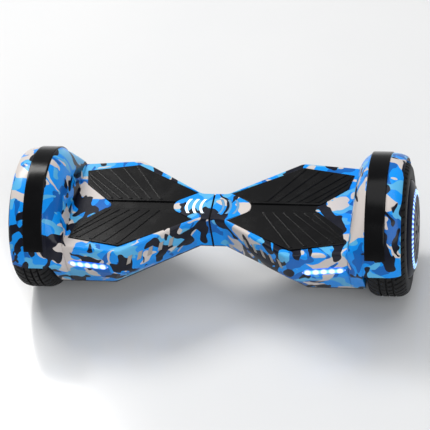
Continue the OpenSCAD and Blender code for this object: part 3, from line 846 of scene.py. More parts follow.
@dataclass(frozen=True)
class Body:
    """The hourglass body that the deck shell and the wheel arch share."""

    form: Form
    apex_x: float = 126.0
    join_w: float = 97.0
    neck_l: float = 20.0
    neck_w: float = 31.0
    apex_dip: float = 2.0
    join_dip: float = 1.0
    bevel: float = 4.0
    lean: float = 0.1
    waist_below_axle: float = 11.5
    neck_waist_above_axle: float = 3.5
    foot_w: float = 73.2
    neck_foot_w: float = 26.0
    neck_foot_below_axle: float = 19.5
    foot_x: float = 146.5
    fillet: float = 4.5
    waist_reach: float = 7.0

    @property
    def deck_z(self) -> float:
        """Height of the deck at its widest place."""
        return self.form.neck_top - self.apex_dip

    def waist(self, w: float, z: float, waist_z: float) -> Flat:
        """Waist below a top edge of half depth w and height z."""
        return (w - self.lean * (z - self.bevel - waist_z), waist_z)

    def neck(self, x: float) -> Station:
        """Cross-section of the straight neck."""
        top = (self.neck_w, self.form.neck_top)
        waist = self.waist(*top, self.form.axle_z + self.neck_waist_above_axle)
        return Station(x, top, waist, (self.neck_foot_w, self.form.axle_z - self.neck_foot_below_axle), x)

    def apex(self) -> Station:
        """Cross-section at the widest place."""
        top = (self.form.apex_w, self.deck_z)
        waist = self.waist(*top, self.form.axle_z - self.waist_below_axle)
        return Station(self.apex_x, top, waist, (self.foot_w, self.form.foot_z), self.foot_x)

    def join(self, x: float) -> Station:
        """Cross-section where the body meets the wheel arch."""
        top = (self.join_w, self.form.neck_top - self.join_dip)
        waist = self.waist(*top, self.form.axle_z - self.waist_below_axle)
        return Station(x, top, waist, (self.foot_w, self.form.foot_z), x)

    def half(self, station: Station, side: float, top: float, low: float) -> list[Point]:
        """Outline of one half of a cross-section, from its top edge down to its foot.

        Args:
            station: The cross-section.
            side: Distance that the sides move inwards.
            top: Distance that the top moves down.
            low: Distance that the foot moves down.

        Returns:
            The outline's points, with a rounded top edge and a softened waist.
        """
        w, z = station.top
        points: list[Point] = []
        for i in range(6):
            a = math.radians(18.0 * i)
            points.append(
                (
                    station.x,
                    w - side - self.fillet * (1.0 - math.sin(a)),
                    z - top - self.fillet * (1.0 - math.cos(a)),
                )
            )
        waist = (station.x, station.waist[0] - side, station.waist[1])
        foot = (station.foot_x, station.foot[0] - side, station.foot[1] - low)
        above = lerp(waist, points[-1], self.waist_reach / math.dist(waist, points[-1]))
        below = lerp(waist, foot, self.waist_reach / math.dist(waist, foot))
        for i in range(5):
            t = i / 4
            points.append(lerp(lerp(above, waist, t), lerp(waist, below, t), t))
        points.append(foot)
        return points

    def loft(self, start: float, end: float, side: float, top: float, low: float) -> Sketch:
        """The body as a closed solid from one x to another, shrunk by side and top.

        Args:
            start: First x in mm.
            end: Last x in mm.
            side: Distance that the sides move inwards.
            top: Distance that the top moves down.
            low: Distance that the foot moves down.

        Returns:
            The solid.
        """
        stations = (self.neck(start), self.neck(self.neck_l), self.apex(), self.join(end))
        halves = [self.half(s, side, top, low) for s in stations]
        rear = [round_corners([half[i] for half in halves], 6.0) for i in range(len(halves[0]))]
        front = [[(x, -y, z) for x, y, z in row] for row in reversed(rear)]
        rows = front + rear
        sketch = Sketch()
        sketch.grid(rows, Fold.ROWS)
        sketch.cap([row[0] for row in rows])
        sketch.cap([row[-1] for row in reversed(rows)])
        return sketch

    def face(self, outer: bool, along: float, drop: float, front: bool) -> Matrix:
        """Frame on a side face, in millimetres: x runs to the seam, y up and z outwards.

        Args:
            outer: True for the face between the widest place and the wheel arch.
            along: Distance along the face from its end nearer the seam.
            drop: Distance below the face's upper edge.
            front: True for the front of the board.

        Returns:
            The frame.
        """
        corners = [
            Vector((s.x, s.top[0], s.top[1] - self.bevel))
            for s in (self.neck(self.neck_l), self.apex(), self.join(self.form.deck_l))
        ]
        start, stop = corners[1:] if outer else corners[:2]
        u = (stop - start).normalized()
        n = u.cross(Vector((0.0, -self.lean, -1.0))).normalized()
        v = u.cross(n)
        origin = start + along * u - drop * v
        frame = Matrix((-u, v, n)).transposed().to_4x4()
        frame.translation = origin
        return Matrix.Diagonal((1.0, -1.0, 1.0, 1.0)) @ frame if front else frame


def tip_arc(cx: float, r: float, px: float, py: float, side: int, steps: int = 12) -> list[Flat]:
    """Arc of a rounded tip that is tangent to the lines from (px, py) and (px, -py).

    Args:
        cx: Middle of the arc along x.
        r: Radius of the arc.
        px: Where the lines start, along x.
        py: Where the upper line starts, along y.
        side: 1 for a tip that points to the seam, -1 for one that points outwards.
        steps: Pieces in the arc.

    Returns:
        The arc's points.
    """
    phi = math.atan2(py, px - cx)
    a = phi + side * math.acos(r / math.hypot(px - cx, py))
    span = 2 * math.pi - 2 * a if side > 0 else -2 * a
    turns = [a + span * i / steps for i in range(steps + 1)]
    return [(cx + r * math.cos(turn), r * math.sin(turn)) for turn in turns]


def clip(outline: Sequence[Flat], through: Flat, inward: Flat) -> list[Flat]:
    """Keeps the part of an outline on the inward side of a line through a point.

    Args:
        outline: The outline's points.
        through: Point on the line.
        inward: Direction across the line that is kept.

    Returns:
        The part that is kept.
    """
    def height(p: Flat) -> float:
        return (p[0] - through[0]) * inward[0] + (p[1] - through[1]) * inward[1]

    out: list[Flat] = []
    for i, here in enumerate(outline):
        before = outline[i - 1]
        a, b = height(before), height(here)
        if a * b < 0:
            out.append(lerp(before, here, a / (a - b)))
        if b >= 0:
            out.append(here)
    return out


def block(start: float, end: float, half: float) -> list[Flat]:
    """Counter-clockwise rectangle from one x to another, with a half depth."""
    return [(start, -half), (end, -half), (end, half), (start, half)]


def circle(cx: float, cy: float, r: float, steps: int = 32) -> list[Flat]:
    """Counter-clockwise ring of points."""
    turns = [2 * math.pi * i / steps for i in range(steps)]
    return [(cx + r * math.cos(turn), cy + r * math.sin(turn)) for turn in turns]


@dataclass(frozen=True)
class PadPlan:
    """Butterfly outline of the foot pad and its recess, in plan."""

    body: Body
    tip: Flat = (24.7, 30.3)
    apex: Flat = (128.2, 93.6)
    out: Flat = (208.0, 77.5)
    inner: Flat = (202.0, 45.5)
    notch_x: float = 156.6
    notch_r: float = 6.0
    tongue_x: float = 59.0
    tongue_r: float = 16.0
    plunger: Flat = (140.0, 48.0)

    def outline(self, grow: float = 0.0) -> list[Flat]:
        """The outline, grown outwards by a distance.

        Args:
            grow: Distance in mm. A negative one shrinks it.

        Returns:
            Counter-clockwise points.
        """
        notch = tip_arc(self.notch_x + self.notch_r, self.notch_r, *self.inner, 1)
        tongue = tip_arc(self.tongue_x - self.tongue_r, self.tongue_r, *self.tip, -1)
        front = [(x, -y) for x, y in (self.tip, self.apex, self.out, self.inner)]
        rear = [self.inner, self.out, self.apex, self.tip]
        plan = front + notch[::-1] + rear + tongue
        return inset(plan, -grow) if grow else plan


def light_outline(length: float, height: float, grow: float = 0.0) -> list[Flat]:
    """Counter-clockwise outline of a light bar with softened pointed ends.

    Args:
        length: Length in mm.
        height: Height in mm.
        grow: Distance that the outline grows.

    Returns:
        The outline's points.
    """
    l, h = length / 2 + grow, height / 2 + grow
    upper = [(l, 0.0), (l - h, h), (h - l, h), (-l, 0.0)]
    half = round_corners(upper, 4.0, 4)
    return half[:-1] + [(-x, -y) for x, y in half[:-1]]


# ---------------------------------------------------------------- sub-assemblies


@dataclass(frozen=True)
class Deck:
    """Upper deck shell with its recess for the pad and its openings."""

    body: Body
    plan: PadPlan
    wall: float = 3.0
    end_wall: float = 4.0
    tray: float = 5.0
    gap: float = 0.3
    collar_r: float = 20.0
    bar: Flat = (64.0, 13.0)
    tail: Flat = (50.0, 9.0)
    bar_along: float = 52.2
    bar_drop: float = 31.0
    vents: int = 5
    vent_pitch: float = 17.4
    vent_at: Flat = (79.0, 20.0)
    crescents: tuple[float, ...] = (15.0, 26.0, 37.0)
    socket_at: Flat = (62.0, 16.0)
    button_at: Flat = (92.0, 16.0)

    def crescent(self, x: float, grow: float) -> list[Flat]:
        """Outline of one curved indicator near x, grown by a distance.

        Args:
            x: Distance from the seam, just short of its inner edge.
            grow: Distance that the outline grows.

        Returns:
            Counter-clockwise points.
        """
        centre, outer, inner, reach = x - 26.0, 30.0 + grow, 26.5 - grow, 16.0 + grow
        far = math.asin(reach / outer)
        near = math.asin(reach / inner)
        steps = 10
        out = [far * (2 * i / steps - 1) for i in range(steps + 1)]
        back = [near * (1 - 2 * i / steps) for i in range(steps + 1)]
        rim = [(centre + outer * math.cos(a), outer * math.sin(a)) for a in out]
        return rim + [(centre + inner * math.cos(a), inner * math.sin(a)) for a in back]

    def side_openings(self, right: bool) -> Sketch:
        """Cutters for the lights, vents and, on the right half, the charge socket and button.

        Args:
            right: True for the right half.

        Returns:
            The cutters, as one sketch.
        """
        cut = Sketch()
        depth = 10.0
        cut.frame = self.body.face(True, self.bar_along, self.bar_drop, front=True)
        cut.prism(light_outline(*self.bar, self.gap), -depth, depth)
        cut.frame = self.body.face(True, self.bar_along, self.bar_drop, front=False)
        cut.prism(light_outline(*self.tail, self.gap), -depth, depth)
        cut.frame = self.body.face(False, *self.vent_at, front=True)
        for i in range(self.vents):
            x = (i - (self.vents - 1) / 2) * self.vent_pitch
            slot = [(x - 6.0, -8.0), (x + 1.0, -8.0), (x + 6.0, 8.0), (x - 1.0, 8.0)]
            cut.prism(inset(slot, -self.gap), -depth, depth)
        if right:
            for at, r in ((self.socket_at, 8.3), (self.button_at, 6.3)):
                cut.frame = self.body.face(False, *at, front=False)
                cut.prism(circle(0.0, 0.0, r), -depth, depth)
        return cut

    def build(self, side: Side, film: bpy.types.Material) -> bpy.types.Object:
        """Builds, dresses and ties the shell of one half.

        Args:
            side: The half.
            film: Camouflage film.

        Returns:
            The shell.
        """
        body, form, deck_z = self.body, self.body.form, self.body.deck_z
        shell = body.loft(form.seam_x, form.deck_l, 0.0, 0.0, 0.0).make(side.node("deck_skin"), side)
        hollow = body.loft(form.seam_x + self.end_wall, form.deck_l + 1.0, self.wall + 0.2, self.wall, 2.0)
        cavity = hollow.make("cavity", side)
        tray = Sketch()
        tray.prism(self.plan.outline(self.wall), deck_z - self.tray - self.wall, deck_z + 4.0)
        carve(cavity, tray.make("tray", side))
        carve(shell, cavity)
        recess = Sketch()
        recess.prism(self.plan.outline(), deck_z - self.tray, deck_z + 6.0)
        carve(shell, recess.make("recess", side))
        holes = Sketch()
        for s in (-1, 1):
            at = (self.plan.plunger[0], s * self.plan.plunger[1])
            holes.prism(circle(*at, 4.0), form.axle_z, deck_z)
        holes.frame = form.axle_frame()
        holes.prism(circle(0.0, 0.0, self.collar_r, 64), -1.0, form.seam_x + self.end_wall + 1.0)
        carve(shell, holes.make("holes", side))
        carve(shell, self.side_openings(side is Side.RIGHT).make("openings", side))
        arcs = Sketch()
        for x in self.crescents:
            arcs.prism(self.crescent(x, self.gap), deck_z - 8.0, deck_z + 6.0)
        carve(shell, arcs.make("arcs", side))
        finish_edges(shell)
        dress(shell, film)
        place(shell, side.name.lower() + "_half", "camo_shell", side.node("upper_shell"))
        return shell


@dataclass(frozen=True)
class Arch:
    """Wheel arch: a rounded inner wall that swells into a hoop over the tyre, and its rubber band."""

    body: Body
    lip_below_axle: float = -4.0
    shoulder_x: float = 236.0
    shoulder_r: float = 109.6
    skin_r: float = 113.0
    lining_r: float = 107.8
    well_r: float = 106.0
    well_x: float = 231.0
    wall: float = 3.0
    rise: float = 0.78
    lead: float = 0.16
    hub_r: float = 22.0
    band_end: float = 17.0
    beyond: float = 150.0
    passage_w: float = 19.5

    def outlines(self, side: float, drop: float) -> tuple[list[Flat], list[Flat]]:
        """Half outlines of the wall's foot and shoulder, from the top middle to the bottom corner.

        Args:
            side: Distance that both outlines move inwards.
            drop: Distance that the bottom corner moves down.

        Returns:
            Two lists of (y, z) with as many points each.
        """
        form = self.body.form
        section = [p[1:] for p in self.body.half(self.body.join(0.0), side, 0.0, drop)]
        top, side_face, waist = section[:6], (section[5], section[6]), section[6:11]
        r = self.shoulder_r - side
        lip = math.degrees(math.asin(-self.lip_below_axle / r))
        foot: list[Flat] = []
        angles: list[float] = []
        across = 18
        for i in range(across):
            foot.append((top[0][0] * i / across, top[0][1]))
            angles.append(90.0 - 62.0 * i / across)
        for i, point in enumerate(top):
            foot.append(point)
            angles.append(28.0 - 1.2 * i)
        down = 8
        for i in range(1, down):
            foot.append(lerp(*side_face, i / down))
            angles.append(22.0 + (lip + 6.0 - 22.0) * i / down)
        for i, point in enumerate(waist):
            foot.append(point)
            angles.append(lip + 6.0 * (1 - (i + 1) / len(waist)))
        turns = [math.radians(a) for a in angles]
        shoulder = [(r * math.cos(turn), form.axle_z + r * math.sin(turn)) for turn in turns]
        steps = 4
        corner = section[-1]
        for i in range(1, steps + 1):
            foot.append(lerp(waist[-1], corner, i / steps))
            shoulder.append(lerp(shoulder[len(angles) - 1], corner, i / steps))
        return foot, shoulder

    def wall_form(self, shift: float, side: float, drop: float) -> Sketch:
        """The rounded wall as a closed solid, moved along x and shrunk.

        Args:
            shift: Distance that it moves along x.
            side: Distance that its outline moves inwards.
            drop: Distance that its bottom corner moves down.

        Returns:
            The solid.
        """
        foot, shoulder = self.outlines(side, drop)
        start, end = self.body.form.arch_x + shift, self.shoulder_x + shift
        columns = []
        for f, s in zip(foot, shoulder):
            p, q = (start, *f), (end, *s)
            bend = (start + (end - start) * self.lead, *lerp(f, s, self.rise))
            shares = [i / 12 for i in range(13)]
            columns.append([lerp(lerp(p, bend, t), lerp(bend, q, t), t) for t in shares])
        mirrored = [[(x, -y, z) for x, y, z in column] for column in reversed(columns[1:])]
        rows = mirrored + columns
        sketch = Sketch()
        sketch.grid(rows, Fold.ROWS)
        sketch.cap([row[0] for row in rows])
        sketch.cap([row[-1] for row in reversed(rows)])
        return sketch

    def hoop(self) -> Sketch:
        """The hoop over the tyre, ending level at the lips.

        Returns:
            The solid.
        """
        form = self.body.form
        edge = form.arch_end
        profile = [
            (self.shoulder_x - 0.8, self.lining_r), (self.shoulder_x - 0.8, self.shoulder_r - 0.9),
            (self.shoulder_x + 0.6, 110.5), (self.shoulder_x + 2.0, 111.7), (self.shoulder_x + 3.4, 112.6),
            (form.band_in + 0.8, self.skin_r), (form.band_out + 0.6, self.skin_r), (edge - 16.0, 112.7),
            (edge - 10.0, 111.6), (edge - 5.0, 110.0), (edge - 2.2, 108.6), (edge - 0.7, 107.4),
            (edge, 106.6), (edge - 0.2, 106.1), (edge - 1.4, 106.2), (edge - 4.0, self.lining_r),
        ]
        steps = 110
        rows = []
        for i in range(steps + 1):
            row = []
            for x, r in profile:
                lip = math.asin(self.lip_below_axle / r)
                a = -lip + (math.pi + 2 * lip) * i / steps
                row.append((x, r * math.cos(a), form.axle_z + r * math.sin(a)))
            rows.append(row)
        sketch = Sketch()
        sketch.tower(rows)
        return sketch

    def build_shell(self, side: Side, film: bpy.types.Material) -> bpy.types.Object:
        """Builds, dresses and ties one wheel arch.

        Args:
            side: The half.
            film: Camouflage film.

        Returns:
            The arch.
        """
        form = self.body.form
        shell = self.wall_form(0.0, 0.0, 0.0).make(side.node("arch_skin"), side)
        cavity = self.wall_form(self.wall * 1.1, self.wall, 2.0).make("cavity", side)
        keep = Sketch()
        keep.prism(block(form.deck_l, self.well_x, self.beyond), -10.0, 300.0)
        carve(cavity, keep.make("keep", side), "INTERSECT")
        carve(shell, cavity)
        along = form.axle_frame()
        well = Sketch()
        well.frame = along
        well.prism(circle(0.0, 0.0, self.well_r, 180), self.well_x + self.wall, 400.0)
        carve(shell, well.make("well", side))
        below = Sketch()
        front = self.well_x + self.wall + 0.9
        below.prism(block(front, 400.0, self.beyond), -10.0, form.axle_z - self.lip_below_axle)
        carve(shell, below.make("below", side))
        carve(shell, self.hoop().make("hoop", side), "UNION")
        hub = Sketch()
        hub.frame = along
        hub.prism(circle(0.0, 0.0, self.hub_r, 64), self.well_x - 1.0, self.well_x + self.wall + 1.0)
        hub.frame = Matrix.Identity(4)
        passage = block(form.deck_l - 1.0, form.deck_l + 7.0, self.passage_w)
        hub.prism(passage, form.axle_z - 15.0, form.axle_z + 20.0)
        carve(shell, hub.make("hub", side))
        finish_edges(shell)
        dress(shell, film)
        place(shell, side.name.lower() + "_half", "camo_shell", side.node("wheel_arch"))
        return shell

    def build_band(self, side: Side, rubber: bpy.types.Material) -> bpy.types.Object:
        """Builds, dresses and ties the rubber band over one arch.

        Args:
            side: The half.
            rubber: The band's finish.

        Returns:
            The band.
        """
        form = self.body.form
        inner = self.skin_r + 0.05
        a, b, r = form.band_in, form.band_out, form.band_r
        profile = [
            (a, inner), (a, r - 0.9), (a + 0.35, r - 0.4), (a + 1.1, r - 0.08), (a + 3.0, r),
            (b - 3.0, r), (b - 1.1, r - 0.08), (b - 0.35, r - 0.4), (b, r - 0.9), (b, inner),
        ]
        steps = 120
        start = math.radians(self.band_end)
        rows = []
        for i in range(steps + 1):
            angle = start + (math.pi - 2 * start) * i / steps
            rows.append([(x, q * math.cos(angle), form.axle_z + q * math.sin(angle)) for x, q in profile])
        sketch = Sketch()
        sketch.tower(rows)
        band = sketch.make(side.node("bumper_strip"), side)
        finish_edges(band, 50.0)
        dress(band, rubber)
        place(band, side.name.lower() + "_half", "bumper_band", side.node("arch_bumper"))
        return band


@dataclass(frozen=True)
class Pad:
    """Rubber foot pad: a base plate with two raised lobes and slanted grip ribs."""

    plan: PadPlan
    gap: float = 0.35
    base_t: float = 3.0
    lobe_h: float = 2.4
    rib_h: float = 1.0
    rib_w: float = 4.4
    ribs: int = 6
    channel: float = 9.0
    rim: float = 4.0
    crease_x: float = 72.0
    tip_sink: float = 1.6

    def top(self, point: Flat) -> float:
        """Height of the lobe above the base at a point: level, then sloping down towards the tip.

        Args:
            point: The point in plan.

        Returns:
            The height in mm.
        """
        apex, tip = self.plan.apex, self.plan.tip
        direction = Vector((self.crease_x - apex[0], self.channel - apex[1])).normalized()
        normal = Vector((direction.y, -direction.x))
        reach = (Vector(tip) - Vector(apex)).dot(normal)
        share = (Vector((point[0], abs(point[1]))) - Vector(apex)).dot(normal) / reach
        return self.lobe_h - self.tip_sink * max(0.0, min(1.0, share))

    def lobe(self, sketch: Sketch, base_z: float) -> None:
        """Adds the rear lobe.

        Args:
            sketch: Sketch that it is added to.
            base_z: Height of the base plate's top.
        """
        outline = clip(self.plan.outline(-self.gap), (0.0, self.channel), (0.0, 1.0))
        crease = (self.crease_x, self.channel)
        corner = min(range(len(outline)), key=lambda i: math.dist(outline[i], self.plan.apex))
        for i, here in enumerate(outline):
            after = outline[(i + 1) % len(outline)]
            level = abs(here[1] - self.channel) < 1e-6 and abs(after[1] - self.channel) < 1e-6
            if level and here[0] < crease[0] < after[0]:
                outline = outline[: i + 1] + [crease] + outline[i + 1 :]
                corner += 1 if corner > i else 0
                break
        middle = outline.index(crease)
        soft = inset(outline, 0.35)
        crown = inset(outline, 1.1)
        heights = [base_z + self.top(p) for p in outline]
        rings = [
            [(x, y, base_z - 0.6) for x, y in outline],
            [(x, y, z - 0.9) for (x, y), z in zip(outline, heights)],
            [(x, y, z - 0.25) for (x, y), z in zip(soft, heights)],
            [(x, y, z) for (x, y), z in zip(crown, heights)],
        ]
        sketch.grid(rings, Fold.COLUMNS)
        sketch.cap(rings[0][::-1])
        first, last = sorted((middle, corner))
        sketch.cap(rings[-1][first : last + 1])
        sketch.cap(rings[-1][last:] + rings[-1][: first + 1])

    def rib_line(self, share: float) -> tuple[Flat, Flat]:
        """Ends of one rib's centre line, from the channel to the lobe's outer edge.

        Args:
            share: Place of the rib, from 0 at the seam side to 1 at the wheel side.

        Returns:
            The two ends in plan.
        """
        start = (78.0 + 76.0 * share, self.channel)
        t = 0.06 + 1.32 * share
        plan = self.plan
        end = lerp(plan.apex, plan.out, t) if t < 1.0 else lerp(plan.out, plan.inner, t - 1.0)
        return start, end

    def rib(self, sketch: Sketch, share: float, base_z: float) -> None:
        """Adds one rib of the rear lobe, stopped short of the lobe's rim.

        Args:
            sketch: Sketch that it is added to.
            share: Place of the rib, from 0 to 1.
            base_z: Height of the base plate's top.
        """
        start, end = (Vector(p) for p in self.rib_line(share))
        along = (end - start).normalized()
        across = Vector((-along.y, along.x)) * (self.rib_w / 2)
        start, end = start - along * 8.0, end + along * 8.0
        ends = (start - across, end - across, end + across, start + across)
        outline: list[Flat] = [tuple(point) for point in ends]
        corners = (self.plan.apex, self.plan.out, self.plan.inner, (self.plan.notch_x - 2.0, 0.0))
        outline = clip(outline, (0.0, self.channel + self.rim), (0.0, 1.0))
        for a, b in zip(corners, corners[1:]):
            edge = (Vector(b) - Vector(a)).normalized()
            inward = Vector((edge.y, -edge.x))
            outline = clip(outline, tuple(Vector(a) + inward * self.rim), tuple(inward))
        if len(outline) < 3:
            return
        crown = inset(outline, 0.7)
        soft = inset(outline, 0.2)
        low = base_z + self.lobe_h
        sketch.tower(
            [
                [(x, y, low - 0.4) for x, y in outline],
                [(x, y, low + self.rib_h - 0.55) for x, y in outline],
                [(x, y, low + self.rib_h - 0.15) for x, y in soft],
                [(x, y, low + self.rib_h) for x, y in crown],
            ]
        )

    def build(self, side: Side, rubber: bpy.types.Material) -> bpy.types.Object:
        """Builds, dresses and ties one pad.

        Args:
            side: The half.
            rubber: The pad's finish.

        Returns:
            The pad.
        """
        body = self.plan.body
        base_z = body.deck_z
        sketch = Sketch()
        outline = self.plan.outline(-self.gap)
        soft = inset(outline, 0.8)
        sketch.tower(
            [
                [(x, y, base_z - self.base_t) for x, y in outline],
                [(x, y, base_z - 0.7) for x, y in outline],
                [(x, y, base_z) for x, y in soft],
            ]
        )
        for s in (-1, 1):
            sketch.frame = Matrix.Diagonal((1.0, float(s), 1.0, 1.0))
            self.lobe(sketch, base_z)
            for i in range(self.ribs):
                self.rib(sketch, i / (self.ribs - 1), base_z)
            sketch.prism(circle(*self.plan.plunger, 3.0, 24), body.form.axle_z + 15.0, base_z - 1.5)
        sketch.frame = Matrix.Identity(4)
        pad = sketch.make(side.node("grip_pad"), side)
        finish_edges(pad, 50.0)
        dress(pad, rubber)
        place(pad, side.name.lower() + "_pad", "pad_rubber", side.node("foot_pad"))
        return pad


@dataclass(frozen=True)
class Wheel:
    """Solid tyre with a cut tread, gloss hub cap and its light ring."""

    form: Form
    steps: int = 540
    sipes: int = 54
    groove: float = 3.0
    sipe: float = 2.2
    bead_r: float = 70.05
    cap_r: float = 73.0
    ring_in: float = 51.7
    ring_out: float = 60.3
    dashes: int = 48

    def drop(self, u: float) -> float:
        """How far the tread lies below the full radius at a distance u from its middle."""
        s = min(1.0, max(0.0, (abs(u) - 12.0) / 18.0))
        return 13.0 * (1.0 - math.sqrt(max(0.0, 1.0 - s * s)))

    def tread(self) -> list[tuple[float, float]]:
        """Places across the tread with the share of the groove's depth at each.

        Returns:
            Pairs of a place and a share, in order.
        """
        places: list[tuple[float, float]] = []
        grooves = (-10.0, 0.0, 10.0)
        u = -30.0
        while u <= 30.0:
            if min(abs(u - g) for g in grooves) > 2.0:
                places.append((u, 0.0))
            u += 1.25 if abs(u) > 24.0 else 1.5
        for g in grooves:
            places += [(g - 1.6, 0.0), (g - 1.1, 1.0), (g + 1.1, 1.0), (g + 1.6, 0.0)]
        places.append((30.0, 0.0))
        return sorted(set(places))

    def build_tyre(self, side: Side, rubber: bpy.types.Material) -> bpy.types.Object:
        """Builds, dresses and ties one tyre.

        Args:
            side: The half.
            rubber: The tyre's finish.

        Returns:
            The tyre.
        """
        form = self.form
        middle = (form.tyre_in + form.tyre_out) / 2
        wall = [
            (29.0, 74.1), (29.7, 76.0), (30.0, 79.0), (29.6, 80.0), (29.6, 80.8), (30.0, 81.8), (30.0, 85.0),
        ]
        bead = [(24.9, self.bead_r), (24.9, 74.1)]
        tread = self.tread()
        rows = []
        for i in range(self.steps):
            angle = 2 * math.pi * i / self.steps
            row: list[tuple[float, float]] = [(-u, r) for u, r in bead + wall]
            for u, share in tread:
                r = form.tyre_r - self.drop(u) - self.groove * share
                turn = (i * self.sipes / self.steps + (abs(u) - 10.0) * 0.055) % 1.0
                lug = 3.0 < abs(u) < 8.0 or 12.4 < abs(u) < 27.0
                if lug and share == 0.0 and turn < 0.24:
                    r -= self.sipe
                row.append((u, r))
            row += [(u, r) for u, r in reversed(bead + wall)]
            up, over = math.sin(angle), math.cos(angle)
            rows.append([(middle + u, r * over, form.axle_z + r * up) for u, r in row])
        sketch = Sketch()
        sketch.grid(rows, Fold.BOTH)
        tyre = sketch.make(side.node("treaded_tyre"), side)
        finish_edges(tyre, 40.0)
        dress(tyre, rubber)
        place(tyre, side.name.lower() + "_wheel", "tyre_rubber", side.node("tyre"))
        return tyre

    def revolve(
        self, profile: Sequence[Flat], steps: int, wave: Callable[[float, float], float]
    ) -> Sketch:
        """Turns a closed profile of (radius, x) about the axle, with x moved by a wave of radius and angle.

        Args:
            profile: The profile's points.
            steps: Steps round the axle.
            wave: Gives the move along x from a radius and an angle.

        Returns:
            The solid.
        """
        rows = []
        for i in range(steps):
            a = 2 * math.pi * i / steps
            rows.append(
                [(x + wave(r, a), r * math.cos(a), self.form.axle_z + r * math.sin(a)) for r, x in profile]
            )
        sketch = Sketch()
        sketch.grid(rows, Fold.BOTH)
        return sketch

    def build_cap(self, side: Side, gloss: bpy.types.Material, lit: bpy.types.Material) -> None:
        """Builds, dresses and ties one hub cap and its light ring.

        Args:
            side: The half.
            gloss: The cap's finish.
            lit: The ring's finish.
        """
        tip = self.form.cap_tip
        back = self.form.tyre_out - 1.9
        eye = 6.0
        profile = [
            (eye, back), (eye, tip - 0.9), (eye + 0.6, tip - 0.2), (eye + 2.0, tip), (18.0, tip - 0.25),
            (20.0, tip - 0.9), (22.0, tip - 1.1), (30.0, tip - 1.3), (40.0, tip - 1.7), (47.0, tip - 2.1),
            (50.0, tip - 2.4), (51.3, tip - 2.9), (self.ring_in, tip - 3.6), (self.ring_in, tip - 6.8),
            (self.ring_out, tip - 6.8), (self.ring_out, tip - 4.9), (61.2, tip - 4.6), (64.0, tip - 5.6),
            (68.0, tip - 7.6), (71.0, tip - 9.4), (72.4, tip - 10.6), (self.cap_r, tip - 11.8),
            (self.cap_r, back),
        ]
        spokes = 12

        def hollow(r: float, a: float) -> float:
            swell = math.cos(spokes * a)
            return -(swell ** 0.5) if 21.0 < r < 48.0 and swell > 0 else 0.0

        cap = self.revolve(profile, 240, hollow).make(side.node("hub_dome"), side)
        finish_edges(cap, 40.0)
        dress(cap, gloss)
        place(cap, side.name.lower() + "_wheel", "hub_cap", side.node("hub_cap"))
        ring_profile = [
            (self.ring_in + 0.3, tip - 6.6), (self.ring_in + 0.3, tip - 3.4),
            (self.ring_in + 1.2, tip - 2.8), (self.ring_in + 3.4, tip - 2.9),
            (self.ring_out - 2.0, tip - 3.8), (self.ring_out - 0.9, tip - 4.4),
            (self.ring_out - 0.3, tip - 5.0), (self.ring_out - 0.3, tip - 6.6),
        ]
        dashes = self.dashes

        def flute(r: float, a: float) -> float:
            inside = self.ring_in + 1.0 < r < self.ring_out - 1.0
            return -0.35 if inside and math.cos(dashes * a) < 0.0 else 0.0

        ring = self.revolve(ring_profile, self.dashes * 8, flute).make(side.node("hub_glow"), side)
        finish_edges(ring, 40.0)
        dress(ring, lit)
        place(ring, side.name.lower() + "_wheel", "hub_light", side.node("hub_light"))


@dataclass(frozen=True)
class Lamps:
    """Front light bars and rear lenses, as domed lenses in the side faces."""

    deck: Deck
    wall: float = 3.0

    def lens(self, size: Flat, frame: Matrix, name: str, side: Side, proud: float) -> bpy.types.Object:
        """Builds one domed lens that stands proud of its face.

        Args:
            size: Length and height in mm.
            frame: Frame on the side face.
            name: Name of the new object.
            side: The half.
            proud: How far it stands out in mm.

        Returns:
            The lens.
        """
        rings = []
        for shrink, z in ((0.0, -self.wall), (0.0, 0.2), (0.25, 0.45), (0.8, 0.7), (1.8, 0.88), (3.2, 1.0)):
            outline = light_outline(size[0] - 2 * shrink, size[1] - 2 * shrink)
            rings.append([(x, y, z if z < 0 else z * proud) for x, y in outline])
        sketch = Sketch()
        sketch.frame = frame
        sketch.tower(rings)
        return sketch.make(name, side)

    def build(self, side: Side, effects: Effects, tail: bpy.types.Material) -> None:
        """Builds, dresses and ties the front and rear lenses of one half.

        Args:
            side: The half.
            effects: The shared node groups.
            tail: The rear lens's finish.
        """
        deck = self.deck
        half = side.name.lower() + "_half"
        frame = deck.body.face(True, deck.bar_along, deck.bar_drop, front=True)
        bar = self.lens(deck.bar, frame, side.node("light_bar"), side, 1.3)
        finish_edges(bar, 45.0)
        flip = Matrix.Diagonal((float(side.value), 1.0, 1.0))
        finish = LitBar(
            side.node("light_bar_glow"),
            middle=flip @ frame.translation * MM,
            along=flip @ frame.to_3x3().col[0],
            length=deck.bar[0] * MM,
            height=deck.bar[1] * MM,
        )
        dress(bar, finish.build(effects))
        place(bar, half, "led_lens", side.node("front_light"))
        back = deck.body.face(True, deck.bar_along, deck.bar_drop, front=False)
        rear = self.lens(deck.tail, back, side.node("rear_lens"), side, 1.1)
        finish_edges(rear, 45.0)
        dress(rear, tail)
        place(rear, half, "tail_lens", side.node("tail_light"))


# ---------------------------------------------------------------- finishes, studio and camera


